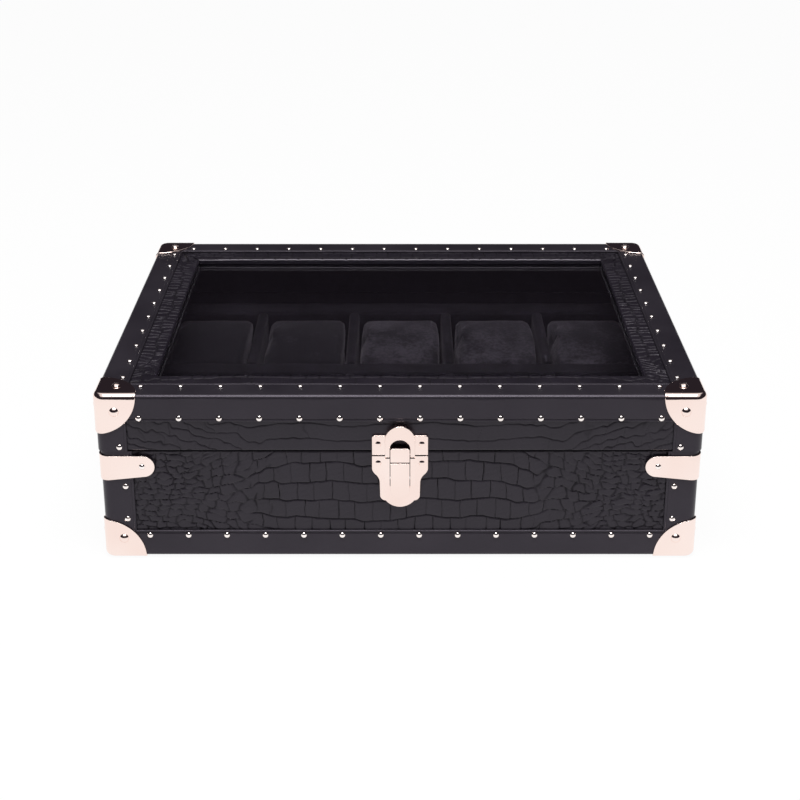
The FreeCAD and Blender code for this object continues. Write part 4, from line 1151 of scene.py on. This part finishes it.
# %% Ten cushions
SQUARED, LEVELS = 0.85, 25
SEAM_IN, SEAM_WIDE = 3.4, 0.8


def fitted(node, phase):
    """The stuffed shape scaled to its CAD cushion's box and squared up, with seams and soft dents."""
    low, high = span(node)
    box = cushion_points.min(0), cushion_points.max(0)
    unit = 2 * (cushion_points - box[0]) / (box[1] - box[0]) - 1
    level = np.round((unit[:, 2] + 1) * (LEVELS - 1) / 2).astype(int)
    widest = np.zeros(LEVELS)
    np.maximum.at(widest, level, np.abs(unit[:, 0]))
    unit[:, 0] *= np.interp(unit[:, 2], np.linspace(-1, 1, LEVELS), widest) ** -SQUARED
    half, middle = (high - low) / 2, (high + low) / 2
    p = middle + unit * half
    x, y, z = unit.T
    seam = np.exp(-(((np.abs(p[:, 0] - middle[0]) - (half[0] - SEAM_IN)) / SEAM_WIDE) ** 2))
    dent = 0.35 * np.sin(3.1 * x + phase) * np.cos(2.3 * y + 1.7 * phase)
    dent = dent + 0.25 * np.sin(5.3 * y - 2.9 * x + phase)
    lift = smooth((z + 0.5) / 0.8)
    pull = (0.55 * seam + 0.45 * np.abs(dent)) * lift
    inward = np.stack([0 * x, y, np.maximum(z, 0.2)], axis=-1)
    inward /= np.linalg.norm(inward, axis=1, keepdims=True)
    p = p - inward * pull[:, None]
    p[:, 2] = np.maximum(p[:, 2], low[2])
    return p


# Painted shade on the cushions, by column: the first column is darkened most, the third hardly at all.
PAINTED_SHADE_BY_COLUMN = 1.0, 0.55, 0.05, 0.1, 0.2
for row in ("front", "back"):
    for i in range(1, 6):
        node = "cushion_%s_%d" % (row, i)
        shape = fitted(node, i * 1.3 + (0.7 if row == "back" else 0.0))
        pad_painted_shade = np.full(len(shape), PAINTED_SHADE_BY_COLUMN[i - 1])
        skin = turned_out(shape, [cushion_quads])
        made = add_piece("pad_%s_%d" % (row, i), skin, node, PAD, (node,), 80, pad_painted_shade)

# %% [markdown]
# ## Studio
# The box stands near the front edge of a white table under plain soft light. The studio is dark, so level
# metal and glass mirror something dark, apart from a pale ceiling, which folds and domes mirror, and a soft
# lamp in front of it, which draws the bright line along the fold of the lid. The table is white to the
# camera and in mirrors, but part of it is an ordinary surface, so the box keeps its shadow.

# %% Floor and world


def white_floor():
    f = Finish("white_floor", Base_Color=(0.86, 0.86, 0.86, 1), Roughness=0.9, Specular_IOR_Level=0.0)
    seen = f.node("LightPath") + f.node("LightPath", out=3) + f.node("LightPath", out=6)
    return f.blend(seen * 0.95, f.node("Emission", {}, {"Color": (1, 1, 1, 1), "Strength": 1.0}))


sheet = bpy.data.meshes.new("floor")
sheet.from_pydata([(-6, -0.62, 0), (6, -0.62, 0), (6, 6, 0), (-6, 6, 0)], [], [(0, 1, 2, 3)])
sheet.materials.append(white_floor())
link("floor", sheet)


class Surroundings(Finish):
    """A world whose strength is written the same way as a finish."""

    def __init__(self, name):
        self.material = bpy.data.worlds.new(name)
        self.material.use_nodes = True
        self.tree = self.material.node_tree
        self.shader = self.tree.nodes["Background"]

    def way(self, axis):
        """One part (0 x, 1 y, 2 z) of the direction that a ray leaves in."""
        return self.node("SeparateXYZ", {}, {0: self.node("TexCoord")}, out=axis)

    def step(self, value, low, high):
        """Soft step from 0 at low to 1 at high."""
        return self.node("MapRange", {"interpolation_type": "SMOOTHSTEP"}, {0: value, 1: low, 2: high})


def studio():
    f = Surroundings("studio")
    side, back, up = f.way(0), f.way(1), f.way(2)
    ceiling = f.step(up, 0.52, 0.68) * f.step(back, 0.7, 0.5) * f.step(side * side, 0.36, 0.16)
    strength = 0.022 + ceiling * 0.85
    seen = f.node("LightPath")
    tint = f.ramp(ceiling + seen, (0.0, (0.94, 0.76, 1.0)), (0.4, (1, 1, 1)))
    return f.wear(Color=tint, Strength=strength + seen * (1 - strength))


bpy.context.scene.world = studio()

# %% Lamp and camera
TILT_DOWN = 19.508
light = bpy.data.lights.new("lamp_above", "AREA")
light.shape, light.size, light.size_y, light.energy = "RECTANGLE", 1.0, 0.6, 20
lamp = link("lamp_above", light)
lamp.location = (0, -0.47, 1.35)
aim = Vector((0, -0.1, 0.1)) - lamp.location
lamp.rotation_euler = aim.to_track_quat("-Z", "Y").to_euler()

lens = bpy.data.cameras.new("camera")
lens.sensor_width, lens.lens, lens.shift_y = 36.0, 67.53, -0.1875
camera = link("camera", lens)
camera.location = (0, -0.8832, 0.4560)
camera.rotation_euler = (np.radians(90 - TILT_DOWN), 0, 0)
bpy.context.scene.camera = camera
bpy.context.scene.view_settings.view_transform = "Standard"
print("lamp", tuple(lamp.location), "camera", tuple(camera.location))
